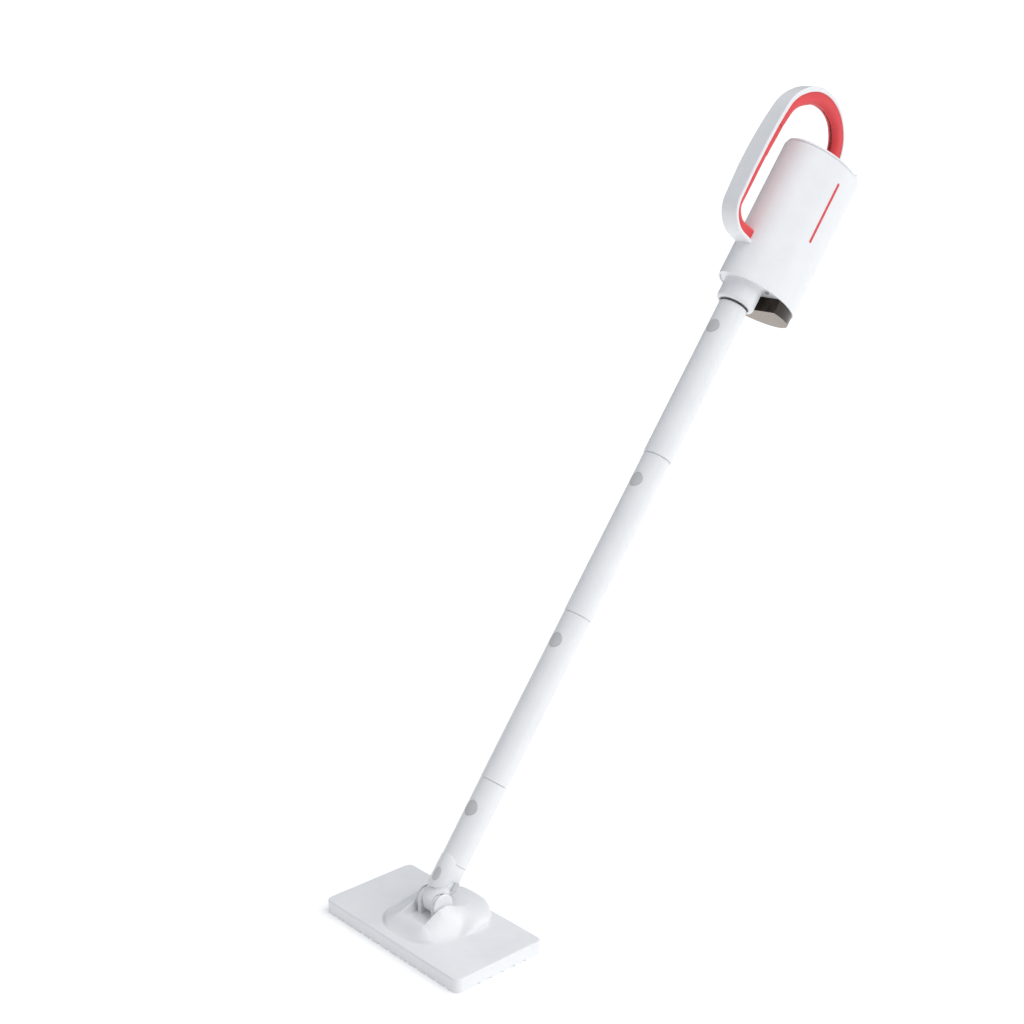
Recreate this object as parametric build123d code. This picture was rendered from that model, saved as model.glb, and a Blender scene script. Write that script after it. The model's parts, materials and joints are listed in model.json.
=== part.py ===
"""Steam mop: a flat steam head, a jointed neck, three plug-in tubes and a hand unit with a loop handle.

Frame: origin in the middle of the head's sole, on the floor. X runs along the head, +Y is the side
that the pole leans to, +Z is up. Everything above the head's pivot is drawn in the pole's own frame
(x across, y back, z along the pole, zero at the pivot) and is leaned back as a whole by on_pole().
"""
from build123d import *
import math
import os

# ---------------------------------------------------------------- driving dimensions, millimetres
HEAD_LENGTH = 260.0
HEAD_DEPTH = 136.0
HEAD_HEIGHT = 17.5
HEAD_CORNER = 9.0
HEAD_WALL = 2.5
SOLE_HEIGHT = 4.0
VENT_PITCH = 18.0
VENT_WIDTH = 7.0
VENT_HEIGHT = 2.4

PIVOT_Y = 4.0
PIVOT_Z = 40.0
POLE_LEAN = 38.0

BARREL_RADIUS = 12.5
BARREL_HALF = 9.5
EAR_INNER = 10.0
EAR_OUTER = 15.5
BASE_HALF_X = 17.5
BASE_FRONT_Y = -20.0
BASE_BACK_Y = 24.0
BASE_RISE = 5.0
EAR_RADIUS = 13.5
PIN_RADIUS = 4.0
RUNNING_GAP = 0.05
SWING_Z = 31.0
YOKE_TOP = 50.4
TONGUE_HALF_WIDTH = 9.0
TONGUE_HALF_THICK = 7.0

DOME_HALF_X = 56.0
DOME_HALF_Y = 44.0
DOME_Y = 23.0
DOME_HEIGHT = 15.0

TUBE_LENGTH = 235.0
NECK_TOP = 161.0
TUBE_RADII = (18.4, 19.0, 20.2)
NECK_RADIUS = 17.6
TUBE_WALL = 2.2
SEAM_GAP = 0.5
COUPLER_REACH = 34.0
STEAM_PIPE_RADIUS = 5.0
BUTTON_RADIUS = 9.6
BUTTON_GAP = 0.35
BUTTON_TRAVEL = 3.0
BUTTON_DROP = 41.0

COLLAR_RADIUS = 27.0
COLLAR_BOTTOM = 872.0
BODY_HALF_X = 43.0
BODY_HALF_Y = 73.0
BODY_Y = 31.0
BODY_BOTTOM = 902.0
BODY_TOP = 1118.0
BODY_BOTTOM_SLOPE = 0.085
BODY_TOP_SLOPE = 0.12
BODY_WALL = 2.6
CAP_INSET = 4.0
CAP_RISE = 5.0
HATCH_RISE = 9.0
HATCH_FRONT_Y = 66.0

HANDLE_FRONT_Y = -91.0
HANDLE_ARCH_RADIUS = 71.9
HANDLE_ARCH_Z = 1126.0
HANDLE_ARCH_END = 171.0
HANDLE_LEG = 44.0
HANDLE_ARM_Z = 944.0
HANDLE_ARM_END = -36.0
HANDLE_LOW_RADIUS = 30.0
HANDLE_WIDTH = 25.0
HANDLE_WALL = 5.0
GRIP_WIDTH = 19.0
GRIP_DEPTH = 15.5
GRIP_ROUNDING = 8.0
TRIGGER_LENGTH = 46.0
TRIGGER_DEPTH = 8.0
TRIGGER_TRAVEL = 3.6
TRIGGER_GAP = 0.6
TRIGGER_MIDDLE_Z = 1079.0
TRIGGER_PIN_RADIUS = 1.5

TANK_FRONT_Y = 33.0
TANK_BOTTOM = 882.0
TANK_TOP = 1004.0
TANK_SLOPE = 0.18
TANK_GAP = 0.6
TANK_WALL = 1.8
TANK_INSET = 4.0
TANK_FOOT_INSET = 1.2
TANK_OUTLET_Y = 62.0

SLIDER_X = 29.0
SLIDER_Y = 24.0
SLIDER_TRAVEL = 6.0
GLAND_BORE = 3.6
PUMP_Y = 8.0
PUMP_TOP = 1072.0
HOSE_RADIUS = 3.5
HOSE_TOP = 1084.0
CASE_SCREWS = ((-33.0, 12.0), (33.0, 12.0))

PARTS = {}


# ---------------------------------------------------------------- shared helpers
def on_pole(shape):
    """Lean a shape drawn along the upright pole back about the pivot and set it on the head."""
    return Location((0, PIVOT_Y, PIVOT_Z)) * Rotation(-POLE_LEAN, 0, 0) * shape


def keep(name, *solids):
    """Register one node; several solids become one group."""
    PARTS[name] = solids[0] if len(solids) == 1 else Compound(children=list(solids))


def cylinder_y(radius, start, end, x=0.0, z=0.0):
    """A cylinder along Y from start to end."""
    return Pos(x, (start + end) / 2, z) * Rotation(90, 0, 0) * Cylinder(radius, end - start)


def cylinder_x(radius, start, end, y=0.0, z=0.0):
    """A cylinder along X from start to end."""
    return Pos((start + end) / 2, y, z) * Rotation(0, 90, 0) * Cylinder(radius, end - start)


def rounded_plate(length, depth, radius, bottom, top):
    """An upright prism with rounded corners between two heights."""
    plate = extrude(RectangleRounded(length, depth, radius), amount=top - bottom)
    return Pos(0, 0, bottom) * plate


def tube(radius, bore, bottom, top):
    """A round tube along Z."""
    ring = Cylinder(radius, top - bottom) - Cylinder(bore, top - bottom)
    return Pos(0, 0, (bottom + top) / 2) * ring


def above(height, slope, y=BODY_Y):
    """A large block whose lower face passes through height at y and climbs to the rear by slope."""
    block = Pos(0, 0, 300) * Box(400, 600, 600)
    return Pos(0, y, height) * Rotation(math.degrees(math.atan(slope)), 0, 0) * block


def oval(inset, bottom, top):
    """The hand unit's oval section, drawn in by inset, as a prism."""
    face = Ellipse(BODY_HALF_X - inset, BODY_HALF_Y - inset)
    return Pos(0, BODY_Y, bottom) * extrude(face, amount=top - bottom)


def body_bottom_at(y):
    """Height of the body's slanted lower rim at y."""
    return BODY_BOTTOM + BODY_BOTTOM_SLOPE * (y - BODY_Y)


# ---------------------------------------------------------------- steam head
def vent_cuts():
    """Small steam notches all round the sole's lower rim."""
    middle = Pos(0, 0, VENT_HEIGHT / 2) * Box(HEAD_LENGTH - 18, HEAD_DEPTH - 18, VENT_HEIGHT * 3)
    cuts = []
    along = int(HEAD_LENGTH / VENT_PITCH / 2)
    for step in range(-along + 1, along):
        notch = Box(VENT_WIDTH, HEAD_DEPTH + 10, VENT_HEIGHT)
        cuts.append(Pos(step * VENT_PITCH, 0, VENT_HEIGHT / 2) * notch - middle)
    across = int(HEAD_DEPTH / VENT_PITCH / 2)
    for step in range(-across + 1, across):
        notch = Box(HEAD_LENGTH + 10, VENT_WIDTH, VENT_HEIGHT)
        cuts.append(Pos(0, step * VENT_PITCH, VENT_HEIGHT / 2) * notch - middle)
    return cuts


def head_cover():
    """Top shell, open underneath, with the raised base of the hinge on it."""
    outer = rounded_plate(HEAD_LENGTH, HEAD_DEPTH, HEAD_CORNER, SOLE_HEIGHT, HEAD_HEIGHT)
    outer = fillet(outer.faces().sort_by(Axis.Z)[-1].edges(), 2.2)
    hollow = rounded_plate(HEAD_LENGTH - 2 * HEAD_WALL, HEAD_DEPTH - 2 * HEAD_WALL, HEAD_CORNER - HEAD_WALL,
                           SOLE_HEIGHT - 1, HEAD_HEIGHT - HEAD_WALL)
    shell = outer - hollow
    base_depth = BASE_BACK_Y - BASE_FRONT_Y
    base = rounded_plate(2 * BASE_HALF_X, base_depth, 5, HEAD_HEIGHT - 0.5, HEAD_HEIGHT + BASE_RISE)
    base = fillet(base.faces().sort_by(Axis.Z)[-1].edges(), 1.6)
    shell += Pos(0, (BASE_FRONT_Y + BASE_BACK_Y) / 2, 0) * base
    steam_port = Pos(0, 24, 15) * Cylinder(6.5, 30)
    return shell - steam_port


def hinge_ears():
    """Two upright cheeks that carry the pivot pin."""
    ears = []
    for side in (-1, 1):
        start, end = sorted((side * EAR_INNER, side * EAR_OUTER))
        eye = cylinder_x(EAR_RADIUS, start, end, PIVOT_Y, PIVOT_Z)
        foot_bottom = HEAD_HEIGHT + BASE_RISE
        foot = Pos((start + end) / 2, PIVOT_Y, (PIVOT_Z + foot_bottom) / 2)
        foot *= Box(end - start, 2 * EAR_RADIUS, PIVOT_Z - foot_bottom)
        ear = eye + foot
        ear -= cylinder_x(PIN_RADIUS, start - 1, end + 1, PIVOT_Y, PIVOT_Z)
        ears.append(ear)
    return ears


def dome_solid(inset, height, rounding):
    """Oval block with a well rounded upper edge."""
    prism = extrude(Ellipse(DOME_HALF_X - inset, DOME_HALF_Y - inset), amount=height)
    prism = fillet(prism.faces().sort_by(Axis.Z)[-1].edges(), rounding)
    return Pos(0, DOME_Y, HEAD_HEIGHT + 0.1) * prism


def dome_cover():
    """Low hollow dome behind the hinge, slotted in the middle so that the neck can lean back."""
    wall = 2.2
    dome = dome_solid(0, DOME_HEIGHT, 9.0) - dome_solid(wall, DOME_HEIGHT - wall, 9.0 - wall)
    base_depth = BASE_BACK_Y - BASE_FRONT_Y
    around_base = Pos(0, (BASE_FRONT_Y + BASE_BACK_Y) / 2, HEAD_HEIGHT + 15)
    around_base *= Box(2 * BASE_HALF_X + 1.0, base_depth + 1.0, 40)
    slot_end = 50.0
    slot = Pos(0, (BASE_BACK_Y + slot_end) / 2, HEAD_HEIGHT + 15)
    slot *= Box(2 * BASE_HALF_X + 1.0, slot_end - BASE_BACK_Y + 1.0, 40)
    return dome - around_base - slot


def sole_plate():
    """Lower plate: notched rim, recess for the hook pads and the rows of steam holes."""
    plate = rounded_plate(HEAD_LENGTH, HEAD_DEPTH, HEAD_CORNER, 0, SOLE_HEIGHT - 0.1)
    recess = rounded_plate(HEAD_LENGTH - 14, HEAD_DEPTH - 14, 6, -1, 1.2)
    plate -= recess
    for cut in vent_cuts():
        plate -= cut
    rib = rounded_plate(HEAD_LENGTH - 60, 20, 8, 0, 1.6)
    plate += rib
    for step in range(-4, 5):
        plate -= Pos(step * 22.0, 0, 1.5) * Cylinder(1.6, 10)
    return plate


def hook_pads():
    """Hook-fastener pads in the sole's recess, which hold the mop cloth."""
    pads = []
    for y in (-36.0, 36.0):
        pads.append(Pos(0, y, 0) * rounded_plate(HEAD_LENGTH - 18, 44, 4, 0.3, 1.15))
    return pads


def steam_manifold():
    """Flat steam channel inside the head, over the holes of the sole."""
    body = Pos(0, 0, 7.2) * Box(200, 16, 6)
    riser = Pos(0, 24, 10.5) * Cylinder(5.5, 12.6)
    link = Pos(0, 14, 7.2) * Box(11, 24, 6)
    channel = Pos(0, 0, 6.2) * Box(192, 9, 4.2)
    bore = Pos(0, 24, 11) * Cylinder(3.2, 14)
    return body + link + riser - channel - bore


def head_gasket():
    """Thin rubber seal between the sole and the manifold."""
    ring = Pos(0, 0, 4.05) * Box(198, 14, 0.2)
    return ring - Pos(0, 0, 4.05) * Box(190, 8, 1)


def head_screws():
    """Self-tapping screws that hold the sole to the cover."""
    screws = []
    for x in (-108.0, 0.0, 108.0):
        for y in (-52.0, 52.0):
            shank = Pos(x, y, 9.2) * Cylinder(1.4, 8)
            head = Pos(x, y, 4.75) * Cylinder(3.0, 1.3)
            screws.append(shank + head)
    return screws


def pivot_pin():
    """Steel axle through both ears and the knuckle."""
    return cylinder_x(PIN_RADIUS, -EAR_OUTER + 0.4, EAR_OUTER - 0.4, PIVOT_Y, PIVOT_Z)


def pin_caps():
    """Push-in caps that hide the axle's ends."""
    caps = []
    for side in (-1, 1):
        start, end = sorted((side * (EAR_OUTER + 0.02), side * (EAR_OUTER + 1.6)))
        cap = cylinder_x(7.5, start, end, PIVOT_Y, PIVOT_Z)
        caps.append(fillet(cap.faces().sort_by(Axis.X)[-1 if side > 0 else 0].edges(), 0.8))
    return caps


# ---------------------------------------------------------------- knuckle (pole frame)
def knuckle():
    """Barrel that rocks on the pivot pin, with a tongue that the neck swings on."""
    barrel = cylinder_x(BARREL_RADIUS, -BARREL_HALF, BARREL_HALF)
    tongue = Pos(0, 0, SWING_Z / 2) * Box(2 * TONGUE_HALF_WIDTH, 2 * TONGUE_HALF_THICK, SWING_Z)
    tongue += cylinder_y(TONGUE_HALF_WIDTH, -TONGUE_HALF_THICK, TONGUE_HALF_THICK, 0, SWING_Z)
    body = barrel + tongue
    body -= cylinder_x(PIN_RADIUS + RUNNING_GAP, -30, 30)
    body -= cylinder_y(PIN_RADIUS, -30, 30, 0, SWING_Z)
    return body


def swing_pin():
    """Cross pin at the top of the tongue: the neck swings sideways on it."""
    return cylinder_y(PIN_RADIUS, -15.0, 15.0, 0, SWING_Z)


def swing_cap():
    """Oval cover over the front end of the swing pin."""
    cap = Rotation(90, 0, 0) * extrude(Ellipse(5.6, 8.2), amount=1.6)
    return Pos(0, -16.02, SWING_Z) * cap


# ---------------------------------------------------------------- neck and tubes (pole frame)
def neck_yoke():
    """Fork below the neck tube: one cheek in front of the tongue and one behind it."""
    cheek_radius = 14.5
    shoulder = SWING_Z + cheek_radius - 3.0
    body = Pos(0, 0, (YOKE_TOP + 16.0) / 2) * Cylinder(NECK_RADIUS, YOKE_TOP - 16.0)
    lower = cylinder_y(cheek_radius, -20, 20, 0, SWING_Z)
    lower += Pos(0, 0, shoulder + 20) * Box(2 * NECK_RADIUS, 40, 40)
    lower += Pos(0, 0, SWING_Z + 10) * Box(2 * cheek_radius, 40, 20)
    body = body & lower & (Pos(0, 0, 20) * Box(60, 32, 200))
    gap_top = SWING_Z + TONGUE_HALF_WIDTH + 2.5
    body -= Pos(0, 0, gap_top - 40) * Box(60, 2 * TONGUE_HALF_THICK + 0.7, 80)
    return body - cylinder_y(PIN_RADIUS + RUNNING_GAP, -30, 30, 0, SWING_Z)


def button_hole(z, radius):
    """Cutter for a round button that faces forward at height z."""
    return cylinder_y(radius, -40, 0, 0, z)


def neck_tube():
    """Short tube of the neck; the lower tube plugs into its top."""
    outer = Pos(0, 0, 50.6) * Cone(NECK_RADIUS - 0.2, NECK_RADIUS + 0.5, NECK_TOP - 50.6 - SEAM_GAP,
                                   align=(Align.CENTER, Align.CENTER, Align.MIN))
    bore = Pos(0, 0, 110) * Cylinder(NECK_RADIUS - TUBE_WALL, 104)
    shaft = outer - bore
    shaft -= button_hole(NECK_TOP - BUTTON_DROP, BUTTON_RADIUS + BUTTON_GAP)
    pipe_hole = Pos(0, 0, 55) * Cylinder(STEAM_PIPE_RADIUS + 0.3, 20)
    return shaft - pipe_hole


def pole_tube(index):
    """One plug-in tube, slightly stouter than the tube below it, with a button hole near its top."""
    bottom = NECK_TOP + index * TUBE_LENGTH
    top = bottom + TUBE_LENGTH - SEAM_GAP
    radius = TUBE_RADII[index]
    shaft = tube(radius, radius - TUBE_WALL, bottom, top)
    shaft = chamfer(shaft.faces().sort_by(Axis.Z)[0].edges().sort_by(Edge.length)[-1:], 0.4)
    return shaft - button_hole(top - BUTTON_DROP, BUTTON_RADIUS + BUTTON_GAP)


def coupler(index):
    """Inner sleeve across a seam: it is fast in the upper piece and plugs into the lower one."""
    seam = NECK_TOP + index * TUBE_LENGTH
    radii = (NECK_RADIUS,) + TUBE_RADII + (TUBE_RADII[2],)
    lower_radius = radii[index] - TUBE_WALL - 0.15
    upper_radius = radii[index + 1] - TUBE_WALL - 0.02
    bore = lower_radius - 2.0
    lower = tube(lower_radius, bore, seam - COUPLER_REACH + 4, seam)
    upper = tube(upper_radius, bore, seam, seam + COUPLER_REACH - 10)
    sleeve = lower + upper
    return sleeve


def steam_pipe():
    """Inner pipe that carries the steam down the pole."""
    return tube(STEAM_PIPE_RADIUS, STEAM_PIPE_RADIUS - 1.2, 52, 902)


def pipe_spacers():
    """Discs that centre the steam pipe in the tubes, one in each."""
    discs = []
    for index, radius in enumerate(TUBE_RADII):
        middle = NECK_TOP + (index + 0.42) * TUBE_LENGTH
        disc = tube(radius - TUBE_WALL - 0.05, STEAM_PIPE_RADIUS + 0.02, middle, middle + 4)
        discs.append(disc)
    return discs


def pipe_seals():
    """O-rings on the steam pipe at each seam."""
    rings = []
    for index in range(4):
        z = NECK_TOP + index * TUBE_LENGTH - 12
        rings.append(Pos(0, 0, z) * Torus(STEAM_PIPE_RADIUS + 1.15, 1.1))
    return rings


def button_height(index):
    """Height of a release button's axis."""
    return NECK_TOP + index * TUBE_LENGTH - BUTTON_DROP - (SEAM_GAP if index else 0.0)


def tube_button(index):
    """Round release button: a face that follows the tube, a flange inside and a hollow stem."""
    radii = (NECK_RADIUS + 0.1,) + TUBE_RADII
    radius = radii[index]
    z = button_height(index)
    skin = Pos(0, 0, z) * Cylinder(radius + 0.35, 60)
    face = cylinder_y(BUTTON_RADIUS, -radius - 3, -radius + 5.0, 0, z) & skin
    stem = cylinder_y(4.6, -radius + 4.8, -radius + 9.0, 0, z)
    stem -= cylinder_y(3.4, -radius + 5.2, -radius + 9.5, 0, z)
    return face + stem


def button_spring(index):
    """Coil spring between the button's stem and its seat beside the steam pipe."""
    radii = (NECK_RADIUS + 0.1,) + TUBE_RADII
    start = -radii[index] + 5.2 + BUTTON_TRAVEL + 0.2
    end = -STEAM_PIPE_RADIUS - 0.3
    pitch = (end - start) / 3
    rings = []
    for turn in range(3):
        y = start + 0.5 + turn * pitch
        rings.append(Pos(0, y, button_height(index)) * Rotation(90, 0, 0) * Torus(2.5, 0.45))
    post = cylinder_y(1.9, start + 0.3, end, 0, button_height(index))
    spring = post
    for ring in rings:
        spring += ring
    return spring


# ---------------------------------------------------------------- hand unit (pole frame)
def collar():
    """Round socket under the hand unit; the upper tube ends in it."""
    radius = TUBE_RADII[2]
    ring = tube(COLLAR_RADIUS, radius + 0.3, COLLAR_BOTTOM, 896)
    ring = fillet(ring.faces().sort_by(Axis.Z)[0].edges(), 1.0)
    top = tube(COLLAR_RADIUS, 8.0, 896, 910)
    ring += top
    return ring - above(BODY_BOTTOM + 0.3, BODY_BOTTOM_SLOPE)


def body_shell():
    """Oval sleeve of the hand unit, cut off at a slant at both ends."""
    sleeve = oval(0, 880, 1150) - oval(BODY_WALL, 870, 1160)
    sleeve &= above(BODY_BOTTOM, BODY_BOTTOM_SLOPE)
    sleeve -= above(BODY_TOP, BODY_TOP_SLOPE)
    sleeve -= loop_cutter(0.25)
    for side in (-1, 1):
        sleeve -= stripe_bar(side, 0.12)
    return sleeve


def bottom_plate():
    """Floor of the hand unit, set in a little, open where the tank slides in."""
    plate = oval(BODY_WALL + 0.15, 880, 960)
    plate &= above(BODY_BOTTOM + 1.2, BODY_BOTTOM_SLOPE)
    plate -= above(BODY_BOTTOM + 4.2, BODY_BOTTOM_SLOPE)
    plate -= tank_block(TANK_INSET - TANK_GAP, 860, 1100)
    for x, y in CASE_SCREWS:
        plate -= Pos(x, y, 905) * Cylinder(1.7, 60)
    return plate - Pos(0, 0, 905) * Cylinder(8.0, 60)


def top_cap():
    """Raised lid on the upper end, with a socket for the handle's rear leg."""
    cap = oval(CAP_INSET, 1060, 1170)
    cap &= above(BODY_TOP - 2.0, BODY_TOP_SLOPE)
    cap -= above(BODY_TOP + CAP_RISE, BODY_TOP_SLOPE)
    plug = oval(BODY_WALL + 0.15, 1060, 1170)
    plug &= above(BODY_TOP - 6.0, BODY_TOP_SLOPE)
    plug -= above(BODY_TOP - 1.0, BODY_TOP_SLOPE)
    cap += plug
    cap -= loop_cutter(0.25)
    cap -= slider_slot()
    hatch_place = Pos(0, HATCH_FRONT_Y + 100 - SEAM_GAP, 0) * Box(200, 200, 2600)
    cap -= hatch_place & above(BODY_TOP - 0.6, BODY_TOP_SLOPE)
    return cap - gland_bore(7.2) - oval(BODY_WALL + 6, 1060, 1105)


def rear_hatch():
    """Raised cover on the rear of the lid, round the lead's gland."""
    hatch = oval(BODY_WALL + 0.4, 1060, 1170) & above(BODY_TOP - 0.4, BODY_TOP_SLOPE)
    hatch -= above(BODY_TOP + HATCH_RISE, BODY_TOP_SLOPE)
    hatch &= Pos(0, HATCH_FRONT_Y + 100, 0) * Box(200, 200, 2600)
    return hatch - gland_bore(7.2)


def polar(radius, degrees, y, z):
    """Point at an angle from the forward direction, about a centre in the symmetry plane."""
    angle = math.radians(degrees)
    return y - radius * math.cos(angle), z + radius * math.sin(angle)


def loop_points(offset):
    """Corner points of the loop, moved inward from its outer face by offset, from arm to leg."""
    middle = HANDLE_FRONT_Y + HANDLE_ARCH_RADIUS
    arch = HANDLE_ARCH_RADIUS - offset
    low = HANDLE_LOW_RADIUS - offset
    front = HANDLE_FRONT_Y + offset
    arm = HANDLE_ARM_Z + offset
    lean = math.radians(180.0 - HANDLE_ARCH_END)
    arch_end = polar(arch, HANDLE_ARCH_END, middle, HANDLE_ARCH_Z)
    leg_end = (arch_end[0] + HANDLE_LEG * math.sin(lean), arch_end[1] - HANDLE_LEG * math.cos(lean))
    return {
        "arm_end": (HANDLE_ARM_END, arm), "arm": (front + low, arm), "front": (front, arm + low),
        "low_middle": polar(low, -45.0, front + low, arm + low),
        "arch_start": (front, HANDLE_ARCH_Z),
        "arch_middle": polar(arch, HANDLE_ARCH_END / 2, middle, HANDLE_ARCH_Z),
        "arch_end": arch_end, "leg_end": leg_end,
    }


def loop_band(outer, inner, half_width):
    """A flat band between two offsets of the loop, twice half_width wide."""
    out, into = loop_points(outer), loop_points(inner)
    with BuildSketch(Plane.YZ) as sketch:
        with BuildLine():
            for side in (out, into):
                Line(side["arm_end"], side["arm"])
                ThreePointArc(side["arm"], side["low_middle"], side["front"])
                Line(side["front"], side["arch_start"])
                ThreePointArc(side["arch_start"], side["arch_middle"], side["arch_end"])
                Line(side["arch_end"], side["leg_end"])
            Line(out["arm_end"], into["arm_end"])
            Line(out["leg_end"], into["leg_end"])
        make_face()
    return extrude(sketch.sketch, amount=half_width, both=True)


def loop_cutter(gap):
    """The loop with a small gap all round, for the openings in the body and the lid."""
    return loop_band(-gap, HANDLE_WALL + GRIP_DEPTH + gap, HANDLE_WIDTH / 2 + gap)


def handle_shell():
    """White outer band of the loop handle."""
    return loop_band(0.0, HANDLE_WALL, HANDLE_WIDTH / 2)


def trigger_block(gap):
    """The stretch of the front run that the steam trigger fills."""
    return Pos(0, HANDLE_FRONT_Y + 20, TRIGGER_MIDDLE_Z) * Box(40, 80, TRIGGER_LENGTH + 2 * gap)


def finger_edges(band):
    """The two long edges on the finger side of a grip band."""
    inner = loop_band(HANDLE_WALL + GRIP_DEPTH - 1.0, HANDLE_WALL + GRIP_DEPTH + 0.5, GRIP_WIDTH / 2 + 1)
    limit = GRIP_WIDTH / 2 - 0.6
    return [edge for edge in band.edges()
            if abs(edge.center().X) > limit and edge.length > 6.0 and inner.is_inside(edge @ 0.5)
            and abs((edge @ 0).X - (edge @ 1).X) < 0.01]


def handle_grip():
    """Red soft grip along the inside of the loop, rounded on the finger side, pocketed for the trigger."""
    band = loop_band(HANDLE_WALL + 0.1, HANDLE_WALL + GRIP_DEPTH, GRIP_WIDTH / 2)
    band = fillet(finger_edges(band), GRIP_ROUNDING)
    pocket_start = HANDLE_WALL + GRIP_DEPTH - TRIGGER_DEPTH - TRIGGER_TRAVEL
    pocket = loop_band(pocket_start, HANDLE_WALL + GRIP_DEPTH + 2, GRIP_WIDTH) & trigger_block(TRIGGER_GAP)
    return band - pocket - switch_box(0.2)


def trigger():
    """Red steam trigger let into the grip; it rocks on a pin near its upper end."""
    start = HANDLE_WALL + GRIP_DEPTH - TRIGGER_DEPTH
    block = loop_band(start, HANDLE_WALL + GRIP_DEPTH, GRIP_WIDTH / 2) & trigger_block(0.0)
    block = fillet(finger_edges(block), GRIP_ROUNDING - 1.5)
    y, z = trigger_pin_place()
    return block - cylinder_x(TRIGGER_PIN_RADIUS + RUNNING_GAP, -20, 20, y, z)


def trigger_pin_place():
    """Axis of the trigger's pin in the pole's frame."""
    y = HANDLE_FRONT_Y + HANDLE_WALL + GRIP_DEPTH - TRIGGER_DEPTH + 2.6
    return y, TRIGGER_MIDDLE_Z + TRIGGER_LENGTH / 2 - 5.0


def trigger_pin():
    """Pin that the trigger rocks on."""
    y, z = trigger_pin_place()
    return cylinder_x(TRIGGER_PIN_RADIUS, -GRIP_WIDTH / 2 + 0.4, GRIP_WIDTH / 2 - 0.4, y, z)


def switch_box(gap):
    """Space of the switch behind the trigger."""
    start = HANDLE_FRONT_Y + HANDLE_WALL + 0.3
    end = HANDLE_FRONT_Y + HANDLE_WALL + GRIP_DEPTH - TRIGGER_DEPTH - TRIGGER_TRAVEL - 0.1
    size = Box(9 + 2 * gap, end - start + 2 * gap, 14 + 2 * gap)
    return Pos(0, (start + end) / 2, TRIGGER_MIDDLE_Z - 12) * size


def micro_switch():
    """Switch behind the trigger, sunk in the grip."""
    return switch_box(0.0)


def stripe_bar(side, gap):
    """Narrow red inlay on a flank of the body."""
    length = 97.0
    width = 4.8
    face = SlotOverall(length + 2 * gap, width + 2 * gap)
    bar = extrude(Plane.YZ * (Rotation(0, 0, 90) * face), amount=60)
    bar = Pos(0, BODY_Y + 2.0, 1043.5) * bar
    bar = bar if side > 0 else mirror(bar, Plane.YZ)
    skin = oval(-0.15 - gap, 960, 1130) - oval(1.4 + gap, 950, 1140)
    return bar & skin


def side_stripes():
    """Both red inlays."""
    return [stripe_bar(side, 0.0) for side in (-1, 1)]


# ---------------------------------------------------------------- water tank (pole frame)
def tank_block(inset, bottom, top, front=TANK_FRONT_Y):
    """Half-oval prism behind the tank's flat front wall."""
    prism = oval(inset, bottom, top)
    return prism & (Pos(0, front + 100 + inset - TANK_INSET, 1000) * Box(200, 200, 600))


def tank():
    """Smoked clear water tank that pulls out downwards; its foot is flush with the body."""
    outer = tank_block(TANK_INSET, 860, TANK_TOP)
    foot = tank_block(TANK_FOOT_INSET, 860, 960, TANK_FRONT_Y + 2.8)
    foot -= above(BODY_BOTTOM - 0.4, BODY_BOTTOM_SLOPE)
    outer = (outer + foot) & above(TANK_BOTTOM, TANK_SLOPE, TANK_FRONT_Y)
    inner = tank_block(TANK_INSET + TANK_WALL, 850, TANK_TOP - TANK_WALL)
    inner &= above(TANK_BOTTOM + TANK_WALL, TANK_SLOPE, TANK_FRONT_Y)
    return outer - inner - Pos(0, TANK_OUTLET_Y, TANK_TOP) * Cylinder(7.0, 12)


def tank_valve():
    """Spring-loaded outlet valve in the tank's roof: a stem with a disc under the roof."""
    stem = Pos(0, TANK_OUTLET_Y, TANK_TOP + 3.5) * Cylinder(2.4, 14)
    disc = Pos(0, TANK_OUTLET_Y, TANK_TOP - TANK_WALL - 1.4) * Cylinder(9.0, 2.0)
    return stem + disc


def tank_seal():
    """Ring seal round the tank's outlet."""
    return Pos(0, TANK_OUTLET_Y, TANK_TOP + 1.0) * (Cylinder(11.0, 1.8) - Cylinder(7.4, 1.8))


def tank_dock():
    """Seat above the tank: it takes the outlet and leads the water to the pump."""
    plate = oval(BODY_WALL + 1.0, TANK_TOP + 2.2, TANK_TOP + 5.2)
    plate &= Pos(0, TANK_FRONT_Y + 100, 1000) * Box(200, 200, 600)
    spout = tube(6.0, 3.6, TANK_TOP + 5.2, TANK_TOP + 18)
    return plate - Pos(0, TANK_OUTLET_Y, 1006) * Cylinder(3.6, 30) + Pos(0, TANK_OUTLET_Y, 0) * spout


# ---------------------------------------------------------------- works inside the body (pole frame)
def boiler():
    """Cast heater block over the steam pipe, with its steam passage."""
    block = Pos(0, -4, 960) * Box(46, 46, 84)
    block = fillet(block.edges().filter_by(Axis.Z), 8)
    return block - Pos(0, 0, 935) * Cylinder(3.8, 70)


def boiler_coils():
    """Ends of the tubular heating element that stand out of the block."""
    stubs = []
    for x in (-14.0, 14.0):
        stubs.append(Pos(x, -4, 1009.0) * Cylinder(3.0, 13.8))
    return stubs


def steam_union():
    """Nut that ties the boiler's outlet to the steam pipe."""
    return Pos(0, 0, 910.4) * (extrude(RegularPolygon(11.0, 6), amount=7.0)) - Pos(0, 0, 912) * Cylinder(5.05, 40)


def pump():
    """Small upright solenoid pump."""
    core = Pos(0, PUMP_Y, PUMP_TOP - 22) * Cylinder(13.0, 44)
    yoke = Pos(0, PUMP_Y, PUMP_TOP - 22) * Box(34, 30, 26)
    nozzle = Pos(0, PUMP_Y, PUMP_TOP - 48) * Cylinder(4.0, 10)
    return core + yoke + nozzle


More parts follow.
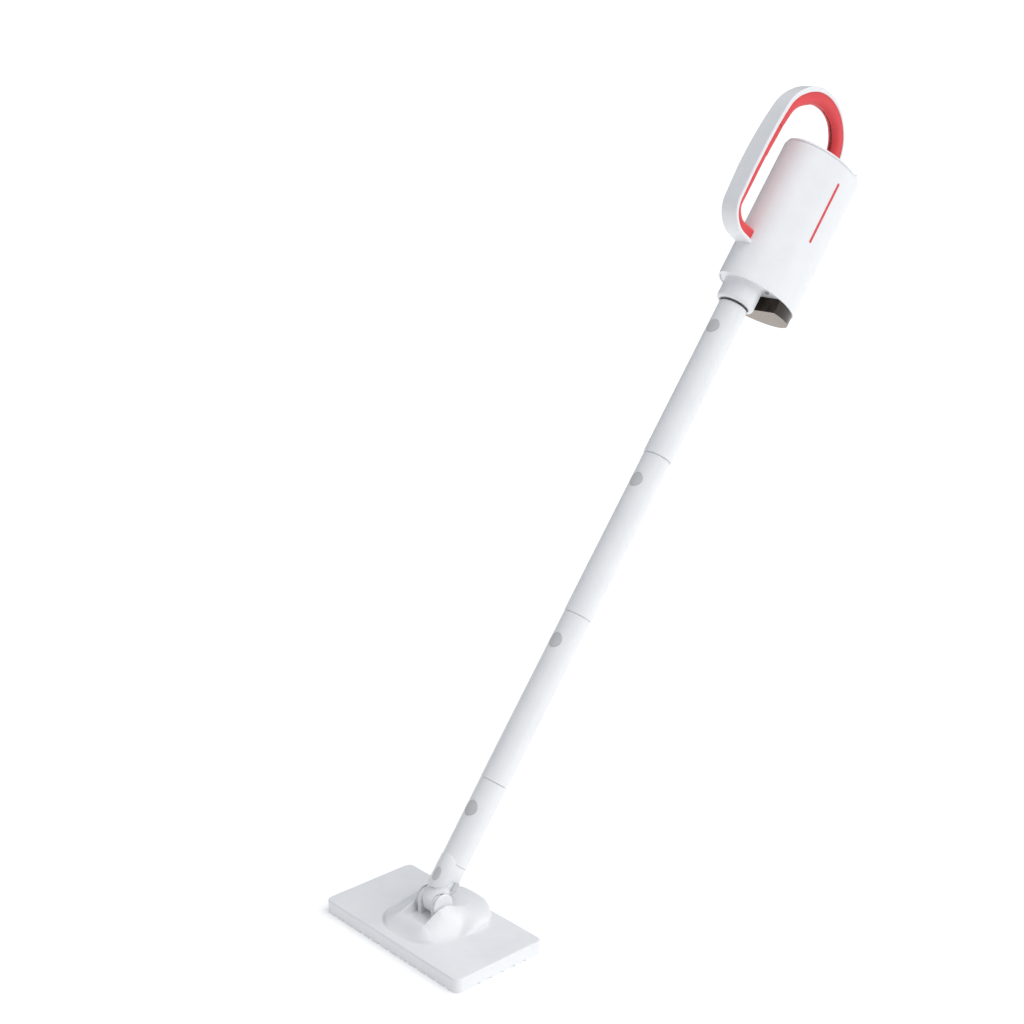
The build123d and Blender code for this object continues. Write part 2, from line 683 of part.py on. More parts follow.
def pump_mounts():
    """Rubber rings that keep the pump's hum from the casing."""
    rings = []
    for drop in (39.8, 3.6):
        rings.append(Pos(0, PUMP_Y, PUMP_TOP - drop) * (Cylinder(16.5, 3.4) - Cylinder(13.05, 3.4)))
    return rings


def water_hose():
    """Hose from the tank's dock up to the pump."""
    spout_top = TANK_TOP + 18.1
    rise = Pos(0, TANK_OUTLET_Y, (spout_top + HOSE_TOP) / 2) * Cylinder(HOSE_RADIUS, HOSE_TOP - spout_top)
    cross = cylinder_y(HOSE_RADIUS, PUMP_Y, TANK_OUTLET_Y, 0, HOSE_TOP)
    drop = Pos(0, PUMP_Y, (PUMP_TOP + 0.2 + HOSE_TOP) / 2) * Cylinder(HOSE_RADIUS, HOSE_TOP - PUMP_TOP - 0.2)
    corners = Pos(0, TANK_OUTLET_Y, HOSE_TOP) * Sphere(HOSE_RADIUS) + Pos(0, PUMP_Y, HOSE_TOP) * Sphere(HOSE_RADIUS)
    return rise + cross + drop + corners


def circuit_board():
    """Control board along the body's front wall."""
    board = Pos(0, -28.5, 1052) * Box(30, 1.6, 74)
    relay = Pos(-6, -24.3, 1068) * Box(12, 6.6, 18)
    socket = Pos(8, -24.8, 1036) * Box(10, 5.6, 12)
    return board + relay + socket


def thermostat():
    """Snap disc against the boiler's rear face."""
    return cylinder_y(8.0, 19.1, 26.0, 0, 975) + cylinder_y(3.0, 25.5, 29.5, 0, 975)


def gland_place():
    """Where the supply lead leaves: the rear of the top cap, square to the slanted lid."""
    y = BODY_Y + BODY_HALF_Y - 17.0
    return y, BODY_TOP + BODY_TOP_SLOPE * (y - BODY_Y)


def gland_bore(radius):
    """Cutter along the gland's axis."""
    y, z = gland_place()
    return Pos(0, y, z) * Rotation(math.degrees(math.atan(BODY_TOP_SLOPE)), 0, 0) * Cylinder(radius, 60)


def cord_gland():
    """Bush with a plain bore for the supply lead."""
    y, z = gland_place()
    start, end = -9.0, HATCH_RISE + 2.6
    bush = Pos(0, 0, (start + end) / 2) * (Cylinder(7.0, end - start) - Cylinder(GLAND_BORE, end - start))
    rim = Pos(0, 0, HATCH_RISE + 1.4) * (Cylinder(8.6, 2.4) - Cylinder(GLAND_BORE, 2.4))
    return Pos(0, y, z) * Rotation(math.degrees(math.atan(BODY_TOP_SLOPE)), 0, 0) * (bush + rim)


def on_lid(shape):
    """Set a shape that is drawn flat on the slanted lid's upper face."""
    return Pos(0, BODY_Y, BODY_TOP + CAP_RISE) * Rotation(math.degrees(math.atan(BODY_TOP_SLOPE)), 0, 0) * shape


def slider_slot():
    """Slot in the lid that the steam-lock slider runs in."""
    return on_lid(Pos(SLIDER_X, SLIDER_Y - BODY_Y, 0) * Box(4.4, 9.6 + SLIDER_TRAVEL + 0.8, 60))


def lock_slider():
    """Steam-lock slider: a small thumb piece on the lid, with a foot that holds it in its slot."""
    y = SLIDER_Y - BODY_Y - SLIDER_TRAVEL / 2
    stem = Pos(SLIDER_X, y, -5.75) * Box(3.8, 9.6, 12.5)
    thumb = Pos(SLIDER_X, y, 1.7) * Box(7.0, 11.0, 2.8)
    foot = Pos(SLIDER_X, y, -13.2) * Box(6.0, 10.0, 1.6)
    return on_lid(stem + thumb + foot)


def case_screws():
    """Screws up through the floor plate into the casing's posts."""
    screws = []
    for x, y in CASE_SCREWS:
        floor = body_bottom_at(y)
        shank = Pos(x, y, floor + 8.0) * Cylinder(1.5, 15)
        head = Pos(x, y, floor - 0.3) * Cylinder(3.0, 1.8)
        screws.append(shank + head)
    return screws


# ---------------------------------------------------------------- build and write
def build_head():
    """Nodes of the head, drawn straight in the mop's frame."""
    keep("head_cover", head_cover())
    keep("hinge_ears", *hinge_ears())
    keep("dome_cover", dome_cover())
    keep("sole_plate", sole_plate())
    keep("hook_pads", *hook_pads())
    keep("steam_manifold", steam_manifold())
    keep("manifold_gasket", head_gasket())
    keep("head_screws", *head_screws())
    keep("pivot_pin", pivot_pin())
    keep("pin_caps", *pin_caps())


def build_pole():
    """Nodes of the neck and the tubes."""
    keep("knuckle", on_pole(knuckle()))
    keep("swing_pin", on_pole(swing_pin()))
    keep("swing_cap", on_pole(swing_cap()))
    keep("neck_yoke", on_pole(neck_yoke()))
    keep("neck_tube", on_pole(neck_tube()))
    for index, name in enumerate(("lower_tube", "middle_tube", "upper_tube")):
        keep(name, on_pole(pole_tube(index)))
    for index, name in enumerate(("lower_coupler", "middle_coupler", "upper_coupler")):
        keep(name, on_pole(coupler(index)))
    keep("steam_pipe", on_pole(steam_pipe()))
    keep("pipe_spacers", *[on_pole(disc) for disc in pipe_spacers()])
    keep("pipe_seals", *[on_pole(ring) for ring in pipe_seals()])
    for index in range(4):
        keep(f"tube_button_{index + 1}", on_pole(tube_button(index)))
    keep("button_springs", *[on_pole(button_spring(index)) for index in range(4)])


def build_hand_unit():
    """Nodes of the casing, the handle, the tank and the works."""
    makers = {
        "collar": collar, "body_shell": body_shell, "bottom_plate": bottom_plate, "top_cap": top_cap,
        "rear_hatch": rear_hatch, "handle_shell": handle_shell, "handle_grip": handle_grip,
        "trigger": trigger,
        "trigger_pin": trigger_pin, "micro_switch": micro_switch, "tank": tank, "tank_valve": tank_valve,
        "tank_seal": tank_seal, "tank_dock": tank_dock, "boiler": boiler, "steam_union": steam_union,
        "pump": pump, "water_hose": water_hose, "circuit_board": circuit_board,
        "thermostat": thermostat, "cord_gland": cord_gland, "lock_slider": lock_slider,
    }
    for name, maker in makers.items():
        keep(name, on_pole(maker()))
    groups = {
        "side_stripes": side_stripes, "heater_ends": boiler_coils, "pump_mounts": pump_mounts,
        "case_screws": case_screws,
    }
    for name, maker in groups.items():
        keep(name, *[on_pole(solid) for solid in maker()])


def main():
    """Build every node and write one STEP file for each."""
    os.makedirs("parts", exist_ok=True)
    build_head()
    build_pole()
    build_hand_unit()
    for name, shape in PARTS.items():
        export_step(shape, f"parts/{name}.step")
    print(len(PARTS), "nodes written")


main()
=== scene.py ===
# %% [markdown]
# # A steam mop, dressed for the studio
# The mop's engineering model arrives finished: every tube, pin and screw is where it belongs. This lesson
# keeps that frame still and gives it looks. Hard plastic parts whose edges the frame leaves plain are
# rebuilt as smooth numpy surfaces, and every part gets a procedural material. We start by loading the frame
# and noting its size, because the finished looks may not grow past it.

# %% Load the frame
import json
import math

import bpy
import numpy as np
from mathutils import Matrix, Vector


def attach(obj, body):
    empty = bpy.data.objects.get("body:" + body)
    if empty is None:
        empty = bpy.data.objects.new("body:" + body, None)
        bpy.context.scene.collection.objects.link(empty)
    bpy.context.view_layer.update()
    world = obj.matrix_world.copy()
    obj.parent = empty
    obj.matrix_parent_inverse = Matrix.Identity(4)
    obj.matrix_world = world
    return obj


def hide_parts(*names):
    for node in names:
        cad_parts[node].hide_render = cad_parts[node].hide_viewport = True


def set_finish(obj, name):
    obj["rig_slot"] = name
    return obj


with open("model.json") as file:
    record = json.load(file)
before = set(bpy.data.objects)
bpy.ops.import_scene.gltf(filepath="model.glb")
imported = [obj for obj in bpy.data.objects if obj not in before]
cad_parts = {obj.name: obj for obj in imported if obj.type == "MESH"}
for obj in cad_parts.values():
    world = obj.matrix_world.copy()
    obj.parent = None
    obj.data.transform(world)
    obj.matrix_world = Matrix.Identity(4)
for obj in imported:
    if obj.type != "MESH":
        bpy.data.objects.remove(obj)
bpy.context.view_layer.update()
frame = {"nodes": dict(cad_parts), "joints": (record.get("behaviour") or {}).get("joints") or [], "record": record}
nodes = frame["nodes"]
joints = {joint["name"]: joint for joint in frame["joints"]}

# %% [markdown]
# ## Two frames of reference
# The head lies flat on the floor, but the pole leans back. Shapes of the hand unit are far easier to write
# down as if the pole stood upright, so we keep a second frame: x across, y to the rear, z up along the pole,
# with its zero at the head's pivot. The swing joint's axis is that frame's y, which is all we need to know.

# %% The pole's own frame
ACROSS = np.array([1.0, 0.0, 0.0])
REARWARD = np.array(joints["swing"]["axis"], float)
REARWARD /= np.linalg.norm(REARWARD)
ALONG = np.cross(ACROSS, REARWARD)
PIVOT = np.array(joints["pitch"]["pos_m"], float)
TO_WORLD = np.column_stack([ACROSS, REARWARD, ALONG])
MM = 0.001


def from_pole(points):
    """World place of points given in the pole's frame: the pivot plus x, y and z times its three axes."""
    return PIVOT + np.asarray(points, float) @ TO_WORLD.T


def pole_box(name):
    """Lowest and highest corner of a frame node, measured in the pole's frame."""
    corners = np.zeros(len(nodes[name].data.vertices) * 3)
    nodes[name].data.vertices.foreach_get("co", corners)
    local = (corners.reshape(-1, 3) - PIVOT) @ TO_WORLD
    return local.min(0), local.max(0)


print("pole leans", round(math.degrees(math.acos(ALONG[2])), 2), "degrees from upright")

# %% [markdown]
# ## The camera
# A product view from the front right corner, from a little above the middle of the pole. The lens is long,
# so the tall pole keeps its shape. The small shift frames the mop without tilting the view.

# %% Camera
CAMERA_PLACE = Vector((1.4696, -1.1629, 1.0936))
CAMERA_TURN = 47.09
CAMERA_DIP = 13.72
camera_data = bpy.data.cameras.new("studio_camera")
camera_data.lens = 58.76
camera_data.sensor_width = 36.0
camera_data.shift_x = -0.0391
camera_data.shift_y = -0.0781
camera_data.clip_end = 100.0
camera = bpy.data.objects.new("studio_camera", camera_data)
camera.location = CAMERA_PLACE
camera.rotation_euler = (math.radians(90.0 - CAMERA_DIP), 0.0, math.radians(CAMERA_TURN))
bpy.context.scene.collection.objects.link(camera)
bpy.context.scene.camera = camera
print("camera at", tuple(CAMERA_PLACE))

# %% [markdown]
# ## Meshes from arrays
# Nearly every new piece is a grid of points: rows along the piece, columns around it. One helper turns such
# a grid into a mesh. It could be done with a loop over vertices, but index arithmetic on whole arrays is
# both shorter and much faster.

# %% Grid to mesh
def grid_faces(rows, columns, closed_along):
    """Quads of a grid closed round its rows: each joins a point to its right and lower neighbours."""
    r = np.arange(rows if closed_along else rows - 1)
    r, c = np.meshgrid(r, np.arange(columns), indexing="ij")
    r2, c2 = (r + 1) % rows, (c + 1) % columns
    quads = np.stack([r * columns + c, r * columns + c2, r2 * columns + c2, r2 * columns + c], -1)
    return quads.reshape(-1, 4)


def add_mesh(name, points, faces, body, slot, *stands_for):
    """Make a smooth object from point and face lists, ride it on a body, set its finish slot and hide the frame
    nodes it stands for.
    """
    mesh = bpy.data.meshes.new(name)
    mesh.from_pydata(np.asarray(points, float).reshape(-1, 3).tolist(), [], faces)
    mesh.update()
    mesh.shade_smooth()
    piece = bpy.data.objects.new(name, mesh)
    bpy.context.scene.collection.objects.link(piece)
    face_outward(mesh)
    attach(piece, body)
    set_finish(piece, slot)
    if stands_for:
        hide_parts(*stands_for)
    print(name, len(mesh.polygons), "faces")
    return piece


def face_outward(mesh):
    """Turn a closed mesh right side out: its signed volume, a sum over triangle fans, must be positive."""
    mesh.calc_loop_triangles()
    points = np.zeros(len(mesh.vertices) * 3)
    mesh.vertices.foreach_get("co", points)
    corners = np.zeros(len(mesh.loop_triangles) * 3, int)
    mesh.loop_triangles.foreach_get("vertices", corners)
    a, b, c = points.reshape(-1, 3)[corners.reshape(-1, 3)].transpose(1, 0, 2)
    if np.einsum("ij,ij->i", a, np.cross(b, c)).sum() < 0:
        mesh.flip_normals()


def tube_mesh(grid, closed_along=False):
    """Points and faces of a tube-like grid; its two ends are closed with one many-sided face each."""
    rows, columns, _ = grid.shape
    faces = grid_faces(rows, columns, closed_along).tolist()
    if not closed_along:
        faces.append(list(range(columns))[::-1])
        faces.append([(rows - 1) * columns + i for i in range(columns)])
    return grid.reshape(-1, 3), faces

# %% [markdown]
# ## Rounded outlines
# Moulded plastic has no sharp corners. This helper rounds the corners of an outline with tangent arcs, and
# adds one support point on each edge just outside the arc. The support points keep the shading of the flat
# faces flat, which a Bevel modifier would also do, but only after the shape is made. A shape that changes on
# its way is written as a short table of places and sizes, and read_table gives the sizes in between.

# %% Outline helpers
SUPPORT = 0.3       # distance of a support point from its arc, as a share of the arc's radius


def read_table(place, table):
    """Value at each place, on straight lines between the (place, value) pairs of a table."""
    return np.interp(place, *np.asarray(table, float).T)


def soften(corners, radii, steps=6, closed=True):
    """Outline whose corners become arcs: each arc's centre lies on the corner's bisector, r / sin(half angle)
    from the corner, and the arc is swept evenly from one tangent point to the other."""
    corners = np.asarray(corners, float)
    radii = np.broadcast_to(radii, len(corners))
    pieces = []
    for i, corner in enumerate(corners):
        if radii[i] <= 0 or (not closed and i in (0, len(corners) - 1)):
            pieces.append(corner[None])
            continue
        before, after = corners[i - 1] - corner, corners[(i + 1) % len(corners)] - corner
        before, after = before / np.linalg.norm(before), after / np.linalg.norm(after)
        half = 0.5 * math.acos(np.clip(before @ after, -1.0, 1.0))
        reach = radii[i] / math.tan(half)
        middle = corner + (before + after) / np.linalg.norm(before + after) * radii[i] / math.sin(half)
        turn = math.pi - 2.0 * half
        t = np.linspace(0.0, 1.0, steps + 1)[:, None]
        start, end = corner + before * reach - middle, corner + after * reach - middle
        arc = middle + (np.sin((1 - t) * turn) * start + np.sin(t * turn) * end) / math.sin(turn)
        spare = SUPPORT * radii[i]
        pieces.append(np.vstack([corner + before * (reach + spare), arc, corner + after * (reach + spare)]))
    return np.vstack(pieces)


def oval_rings(profile, half_x, half_y, middle_y, count):
    """Grid of oval rings: each profile row (inset, height, slope) is an ellipse drawn in by inset, at that
    height plus slope times the distance behind the middle."""
    inset, height, slope = np.asarray(profile, float).T[:, :, None]
    angle = np.linspace(0.0, 2.0 * math.pi, count, endpoint=False)[None]
    x = (half_x - inset) * np.cos(angle)
    y = (half_y - inset) * np.sin(angle)
    return np.stack([x, middle_y + y, height + slope * y], -1)


print("rounded square has", len(soften([(0, 0), (1, 0), (1, 1), (0, 1)], 0.1)), "points")

# %% [markdown]
# ## Shared surface effects
# Plastic is never one flat colour: the moulding drifts a little in tone, the surface has a fine grain that
# breaks up reflections, and a film of dust settles on what faces up. Each effect is a node group, built
# once and placed in every material with its own numbers.

# %% Node group helpers
def new_group(name, inputs, outputs):
    """Empty shader group with named sockets: (name, type, default) for inputs, (name, type) for outputs."""
    group = bpy.data.node_groups.new(name, "ShaderNodeTree")
    for label, kind, default in inputs:
        socket = group.interface.new_socket(label, in_out="INPUT", socket_type="NodeSocket" + kind)
        socket.default_value = default
    for label, kind in outputs:
        group.interface.new_socket(label, in_out="OUTPUT", socket_type="NodeSocket" + kind)
    entry, leave = group.nodes.new("NodeGroupInput"), group.nodes.new("NodeGroupOutput")
    return group, entry.outputs, leave.inputs, group.nodes, group.links


def object_noise(tree, links, scale, detail=3.0, roughness=0.55, stretch=None):
    """Noise on object coordinates; scale is a number or a socket, stretch optionally scales each axis."""
    place = tree.new("ShaderNodeTexCoord").outputs["Object"]
    noise = tree.new("ShaderNodeTexNoise")
    noise.inputs["Detail"].default_value = detail
    noise.inputs["Roughness"].default_value = roughness
    if stretch is not None:
        mapping = tree.new("ShaderNodeMapping")
        mapping.inputs["Scale"].default_value = stretch
        links.new(place, mapping.inputs["Vector"])
        place = mapping.outputs["Vector"]
    links.new(place, noise.inputs["Vector"])
    if isinstance(scale, (int, float)):
        noise.inputs["Scale"].default_value = scale
    else:
        links.new(scale, noise.inputs["Scale"])
    return noise.outputs["Fac"]


def ramp(tree, links, source, low, high, to_low=0.0, to_high=1.0):
    """Map Range node that carries source from low..high to to_low..to_high, clamped."""
    node = tree.new("ShaderNodeMapRange")
    values = (low, high, to_low, to_high)
    for label, value in zip(("From Min", "From Max", "To Min", "To Max"), values):
        if isinstance(value, (int, float)):
            node.inputs[label].default_value = value
        else:
            links.new(value, node.inputs[label])
    links.new(source, node.inputs["Value"])
    return node.outputs["Result"]


def blend_colour(tree, links, factor, first, second):
    """Mix node between two colours; each input is a socket or an rgba tuple."""
    node = tree.new("ShaderNodeMix")
    node.data_type = "RGBA"
    for label, value in ((0, factor), (6, first), (7, second)):
        if isinstance(value, bpy.types.NodeSocket):
            links.new(value, node.inputs[label])
        else:
            node.inputs[label].default_value = value
    return node.outputs[2]


# %% Colour drift: slow noise between two close tones
drift, entry, leave, tree, links = new_group(
    "colour_drift",
    [("Color", "Color", (0.8, 0.8, 0.8, 1)), ("Other", "Color", (0.7, 0.7, 0.7, 1)),
     ("Scale", "Float", 30.0)],
    [("Color", "Color")],
)
slow = ramp(tree, links, object_noise(tree, links, entry["Scale"]), 0.35, 0.65)
links.new(blend_colour(tree, links, slow, entry["Color"], entry["Other"]), leave["Color"])

# %% Fine grain: a bump normal and a matching mask for the roughness
grain, entry, leave, tree, links = new_group(
    "fine_grain",
    [("Scale", "Float", 1500.0), ("Depth", "Float", 0.00002)],
    [("Mask", "Float"), ("Normal", "Vector")],
)
fine = object_noise(tree, links, entry["Scale"], 4.0)
bump = tree.new("ShaderNodeBump")
bump.inputs["Strength"].default_value = 0.6
links.new(entry["Depth"], bump.inputs["Distance"])
links.new(fine, bump.inputs["Height"])
links.new(fine, leave["Mask"])
links.new(bump.outputs["Normal"], leave["Normal"])

# %% Settled dust: upward normals times patchy noise
dust, entry, leave, tree, links = new_group(
    "settled_dust",
    [("Color", "Color", (0.8, 0.8, 0.8, 1)), ("Dust", "Color", (0.55, 0.55, 0.56, 1)),
     ("Amount", "Float", 0.1)],
    [("Color", "Color"), ("Mask", "Float")],
)
split = tree.new("ShaderNodeSeparateXYZ")
links.new(tree.new("ShaderNodeTexCoord").outputs["Normal"], split.inputs["Vector"])
upward = ramp(tree, links, split.outputs["Z"], 0.2, 1.0)
patchy = ramp(tree, links, object_noise(tree, links, 70.0, 6.0, 0.7), 0.45, 0.75)
both = tree.new("ShaderNodeMath")
both.operation = "MULTIPLY"
links.new(upward, both.inputs[0])
links.new(patchy, both.inputs[1])
weighted = tree.new("ShaderNodeMath")
weighted.operation = "MULTIPLY"
links.new(both.outputs[0], weighted.inputs[0])
links.new(entry["Amount"], weighted.inputs[1])
links.new(blend_colour(tree, links, weighted.outputs[0], entry["Color"], entry["Dust"]), leave["Color"])
links.new(both.outputs[0], leave["Mask"])
print("groups:", [group.name for group in bpy.data.node_groups])

# %% [markdown]
# ## Finishes
# One function makes every finish from the three groups; only its numbers change from white casing to steel
# pin. The numbers that are the same all over a surface, such as the coat, sit on the shader itself.

# %% Finish maker
def add_group(material, group, **values):
    """Place a node group in a material; values that are sockets are linked, numbers and colours are set."""
    node = material.node_tree.nodes.new("ShaderNodeGroup")
    node.node_tree = group
    for label, value in values.items():
        if isinstance(value, bpy.types.NodeSocket):
            material.node_tree.links.new(value, node.inputs[label])
        else:
            node.inputs[label].default_value = value
    return node.outputs


def finish(name, colour, other, rough=(0.3, 0.4), metallic=0.0, coat=0.0, sheen=0.0, ior=1.46,
           grain_scale=1500.0, grain_depth=0.00002, drift_scale=30.0, dusty=0.08):
    """Principled material: drifting colour under dust, roughness that follows the grain, grain normal."""
    material = bpy.data.materials.new(name)
    material.use_nodes = True
    tree, links = material.node_tree.nodes, material.node_tree.links
    shader = tree["Principled BSDF"]
    toned = add_group(material, drift, Color=(*colour, 1), Other=(*other, 1), Scale=drift_scale)
    dusted = add_group(material, dust, Color=toned["Color"], Amount=dusty)
    grained = add_group(material, grain, Scale=grain_scale, Depth=grain_depth)
    links.new(dusted["Color"], shader.inputs["Base Color"])
    links.new(ramp(tree, links, grained["Mask"], 0.3, 0.7, *rough), shader.inputs["Roughness"])
    links.new(grained["Normal"], shader.inputs["Normal"])
    shader.inputs["Metallic"].default_value = metallic
    shader.inputs["Coat Weight"].default_value = coat
    shader.inputs["Coat Roughness"].default_value = 0.12
    shader.inputs["Sheen Weight"].default_value = sheen
    shader.inputs["IOR"].default_value = ior
    return material


finishes = {
    "white": finish("white_casing", (0.86, 0.865, 0.88), (0.83, 0.837, 0.855), (0.26, 0.36), coat=0.15),
    "tube_white": finish("white_tube", (0.87, 0.875, 0.885), (0.84, 0.847, 0.865), (0.24, 0.34), coat=0.2),
    "red": finish("red_soft_touch", (0.80, 0.055, 0.062), (0.73, 0.045, 0.055), (0.42, 0.55), sheen=0.15,
                  grain_scale=2600.0, grain_depth=0.00006, dusty=0.03),
    "red_trim": finish("red_inlay", (0.72, 0.03, 0.03), (0.66, 0.025, 0.03), (0.18, 0.26), coat=0.4),
    "grey": finish("grey_button", (0.62, 0.62, 0.63), (0.57, 0.57, 0.585), (0.38, 0.5), grain_scale=2200.0,
                   grain_depth=0.00004),
    "dark": finish("dark_moulding", (0.045, 0.045, 0.05), (0.035, 0.035, 0.04), (0.4, 0.55)),
    "steel": finish("drawn_steel", (0.62, 0.62, 0.63), (0.52, 0.52, 0.54), (0.2, 0.36), metallic=1.0),
    "alloy": finish("cast_alloy", (0.68, 0.69, 0.70), (0.58, 0.59, 0.60), (0.4, 0.6), metallic=1.0,
                    grain_scale=900.0, grain_depth=0.0001),
    "brass": finish("turned_brass", (0.72, 0.52, 0.22), (0.62, 0.44, 0.18), (0.2, 0.32), metallic=1.0),
    "seal": finish("moulded_rubber", (0.03, 0.03, 0.03), (0.022, 0.022, 0.024), (0.6, 0.75)),
    "silicone": finish("silicone_hose", (0.70, 0.69, 0.64), (0.64, 0.63, 0.58), (0.35, 0.5)),
    "board": finish("lacquered_board", (0.02, 0.16, 0.06), (0.015, 0.12, 0.05), (0.25, 0.4)),
}

# %% [markdown]
# ### Smoked tank
# The tank is clear plastic with a brown smoke tint. Its walls are thick seen edge-on and look almost black;
# its floor is thin and lets the light through, so it looks tan. A transparent shader would show the works
# behind it and slow the render, so the depth is painted instead: the colour follows the surface's own
# direction, from dark on the walls to tan on the floor.

# %% Tank material
def tank_finish():
    """Dark gloss whose colour turns tan where the surface faces down along the pole."""
    material = finish("smoked_tank", (0.030, 0.020, 0.014), (0.022, 0.015, 0.011), (0.14, 0.24), ior=1.3)
    tree, links = material.node_tree.nodes, material.node_tree.links
    facing = tree.new("ShaderNodeVectorMath")
    facing.operation = "DOT_PRODUCT"
    facing.inputs[1].default_value = tuple(-ALONG)
    links.new(tree.new("ShaderNodeTexCoord").outputs["Normal"], facing.inputs[0])
    downward = ramp(tree, links, facing.outputs["Value"], 0.75, 0.95)
    streaks = object_noise(tree, links, 90.0, 5.0, 0.6, (1.0, 0.4, 2.0))
    tan = blend_colour(tree, links, streaks, (0.22, 0.155, 0.10, 1), (0.13, 0.09, 0.055, 1))
    shader = tree["Principled BSDF"]
    dark = shader.inputs["Base Color"].links[0].from_socket
    links.new(blend_colour(tree, links, downward, dark, tan), shader.inputs["Base Color"])
    return material


finishes["smoke"] = tank_finish()

# %% [markdown]
# ### Hook pads
# Hook fastener is a field of tiny bristles. Modelled, they would be hundreds of thousands of pieces on a
# face nobody sees, so a Voronoi pattern about a millimetre across stands in for them: a bump, and a colour
# that is painted shade between the bristles and painted light on their tips.

# %% Hook pad material
def hook_finish():
    """Dark cloth-like finish: Voronoi cells give each bristle painted shade round its root, a painted lit tip and
    a bump.
    """
    material = finish("hook_fastener", (0.055, 0.035, 0.028), (0.04, 0.027, 0.022), (0.8, 0.95), sheen=0.3)
    tree, links = material.node_tree.nodes, material.node_tree.links
    cells = tree.new("ShaderNodeTexVoronoi")
    cells.inputs["Scale"].default_value = 900.0
    links.new(tree.new("ShaderNodeTexCoord").outputs["Object"], cells.inputs["Vector"])
    # one value per cell: the bristle's height for the bump, and the mask of the painted shade between bristles
    bristle_height_and_shade = ramp(tree, links, cells.outputs["Distance"], 0.1, 0.6, 1.0, 0.0)
    shader = tree["Principled BSDF"]
    shaded_root = shader.inputs["Base Color"].links[0].from_socket
    # painted light and shade: the dark colour round each cell is painted shade between the bristles, the lighter
    # colour in its middle a painted lit tip
    links.new(blend_colour(tree, links, bristle_height_and_shade, shaded_root, (0.11, 0.07, 0.055, 1)), shader.inputs["Base Color"])
    bump = tree.new("ShaderNodeBump")
    bump.inputs["Distance"].default_value = 0.0004
    links.new(bristle_height_and_shade, bump.inputs["Height"])
    links.new(bump.outputs["Normal"], shader.inputs["Normal"])
    return material


finishes["hooks"] = hook_finish()

# %% Give every frame node its finish
for part in frame["record"]["subparts"]:
    for material_slot in nodes[part["node"]].material_slots:
        material_slot.material = finishes[part["material_slot"]]
print(len(nodes), "nodes dressed in", len(finishes), "finishes")


def dress(piece):
    """Give a new piece the finish of the record slot that it names."""
    piece.data.materials.append(finishes[piece["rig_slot"]])
    return piece

# %% [markdown]
# ## The loop handle
# The handle is a flat white band bent into a loop, with a red soft grip on its finger side. Both follow one
# path: the band's outer face, seen from the side. A curve with a bevel profile could do it, but it can't
# change its section on the way, and this handle grows slimmer towards its rear leg. So the section is
# carried along the path with numpy, and its width and depth are read off tables. BOW pushes the path out by
# up to 8 mm, so that the front of the handle isn't quite straight.

# %% The handle's path
shell_low, shell_high = pole_box("handle_shell")
body_low, body_high = pole_box("body_shell")
FRONT = shell_low[1]
ARCH_RADIUS = 71.9 * MM
ARCH_TOP = shell_high[2]
ARCH_SWEEP = math.radians(171.0)
ARM = shell_low[2]
LOW_RADIUS = 36.0 * MM
FRONT_LEAN = 4.0 * MM
LEG = 34.0 * MM
ARM_OVERLAP = 8.0 * MM
BOW = [(0, 0), (0.1, 1.0), (0.17, 3.2), (0.26, 7.0), (0.34, 8.0), (0.42, 7.2), (0.5, 4.0), (0.57, 0.4),
       (0.6, 0), (0.7, 0), (0.8, 1.0), (0.87, 1.2), (1, 0)]


def arc_points(centre, radius, start, turn, count):
    """Points (y, z) and inward normals on an arc: centre plus radius times each angle's unit vector."""
    angle = start + np.linspace(0.0, turn, count)
    unit = np.stack([-np.cos(angle), np.sin(angle)], -1)
    return np.asarray(centre) + radius * unit, -unit


def straight_points(start, direction, length, inward, count):
    """Points and normals on a straight run; the ends are left to its neighbours."""
    step = np.linspace(0.0, 1.0, count + 2)[1:-1, None]
    return np.asarray(start) + step * length * np.asarray(direction), np.tile(inward, (count, 1))


def loop_path():
    """The band's outer face: the arm, round the lower corner, up the front, over the arch, down the leg."""
    arch_middle = np.array([FRONT + ARCH_RADIUS, ARCH_TOP - ARCH_RADIUS])
    low_middle = np.array([FRONT - FRONT_LEAN + LOW_RADIUS, ARM + LOW_RADIUS])
    arm_end = body_low[1] + ARM_OVERLAP
    arm = straight_points((arm_end, ARM), (-1, 0), arm_end - low_middle[0], (0, 1), 5)
    low = arc_points(low_middle, LOW_RADIUS, -math.pi / 2, math.pi / 2, 25)
    rise = arch_middle[1] - low_middle[1]
    front = straight_points((FRONT - FRONT_LEAN, low_middle[1]), (FRONT_LEAN / rise, 1), rise, (1, 0), 14)
    arch = arc_points(arch_middle, ARCH_RADIUS, 0.0, ARCH_SWEEP, 61)
    end, normal = arch[0][-1], arch[1][-1]
    leg = straight_points(end, (-normal[1], normal[0]), LEG, normal, 9)
    runs = (arm, low, front, arch, leg)
    return np.vstack([run[0] for run in runs]), np.vstack([run[1] for run in runs])


path, inward = loop_path()
travel = np.concatenate([[0.0], np.cumsum(np.linalg.norm(np.diff(path, axis=0), axis=1))])
travel /= travel[-1]
path = path - inward * (read_table(travel, BOW) * MM)[:, None]
print("handle path has", len(path), "stations")

# %% [markdown]
# The section is a rounded rectangle: x runs across the handle and depth runs inward from the path. Its width,
# depth and rounding may change from station to station. The tables below give them in millimetres at shares
# of the path: 0 is the arm's end in the casing, 0.1 the middle of the lower corner, 0.47 the start of the
# arch, 0.72 its top and 1 the leg's foot under the lid.

# %% Sweep a section along the path
END_STEP = 0.001


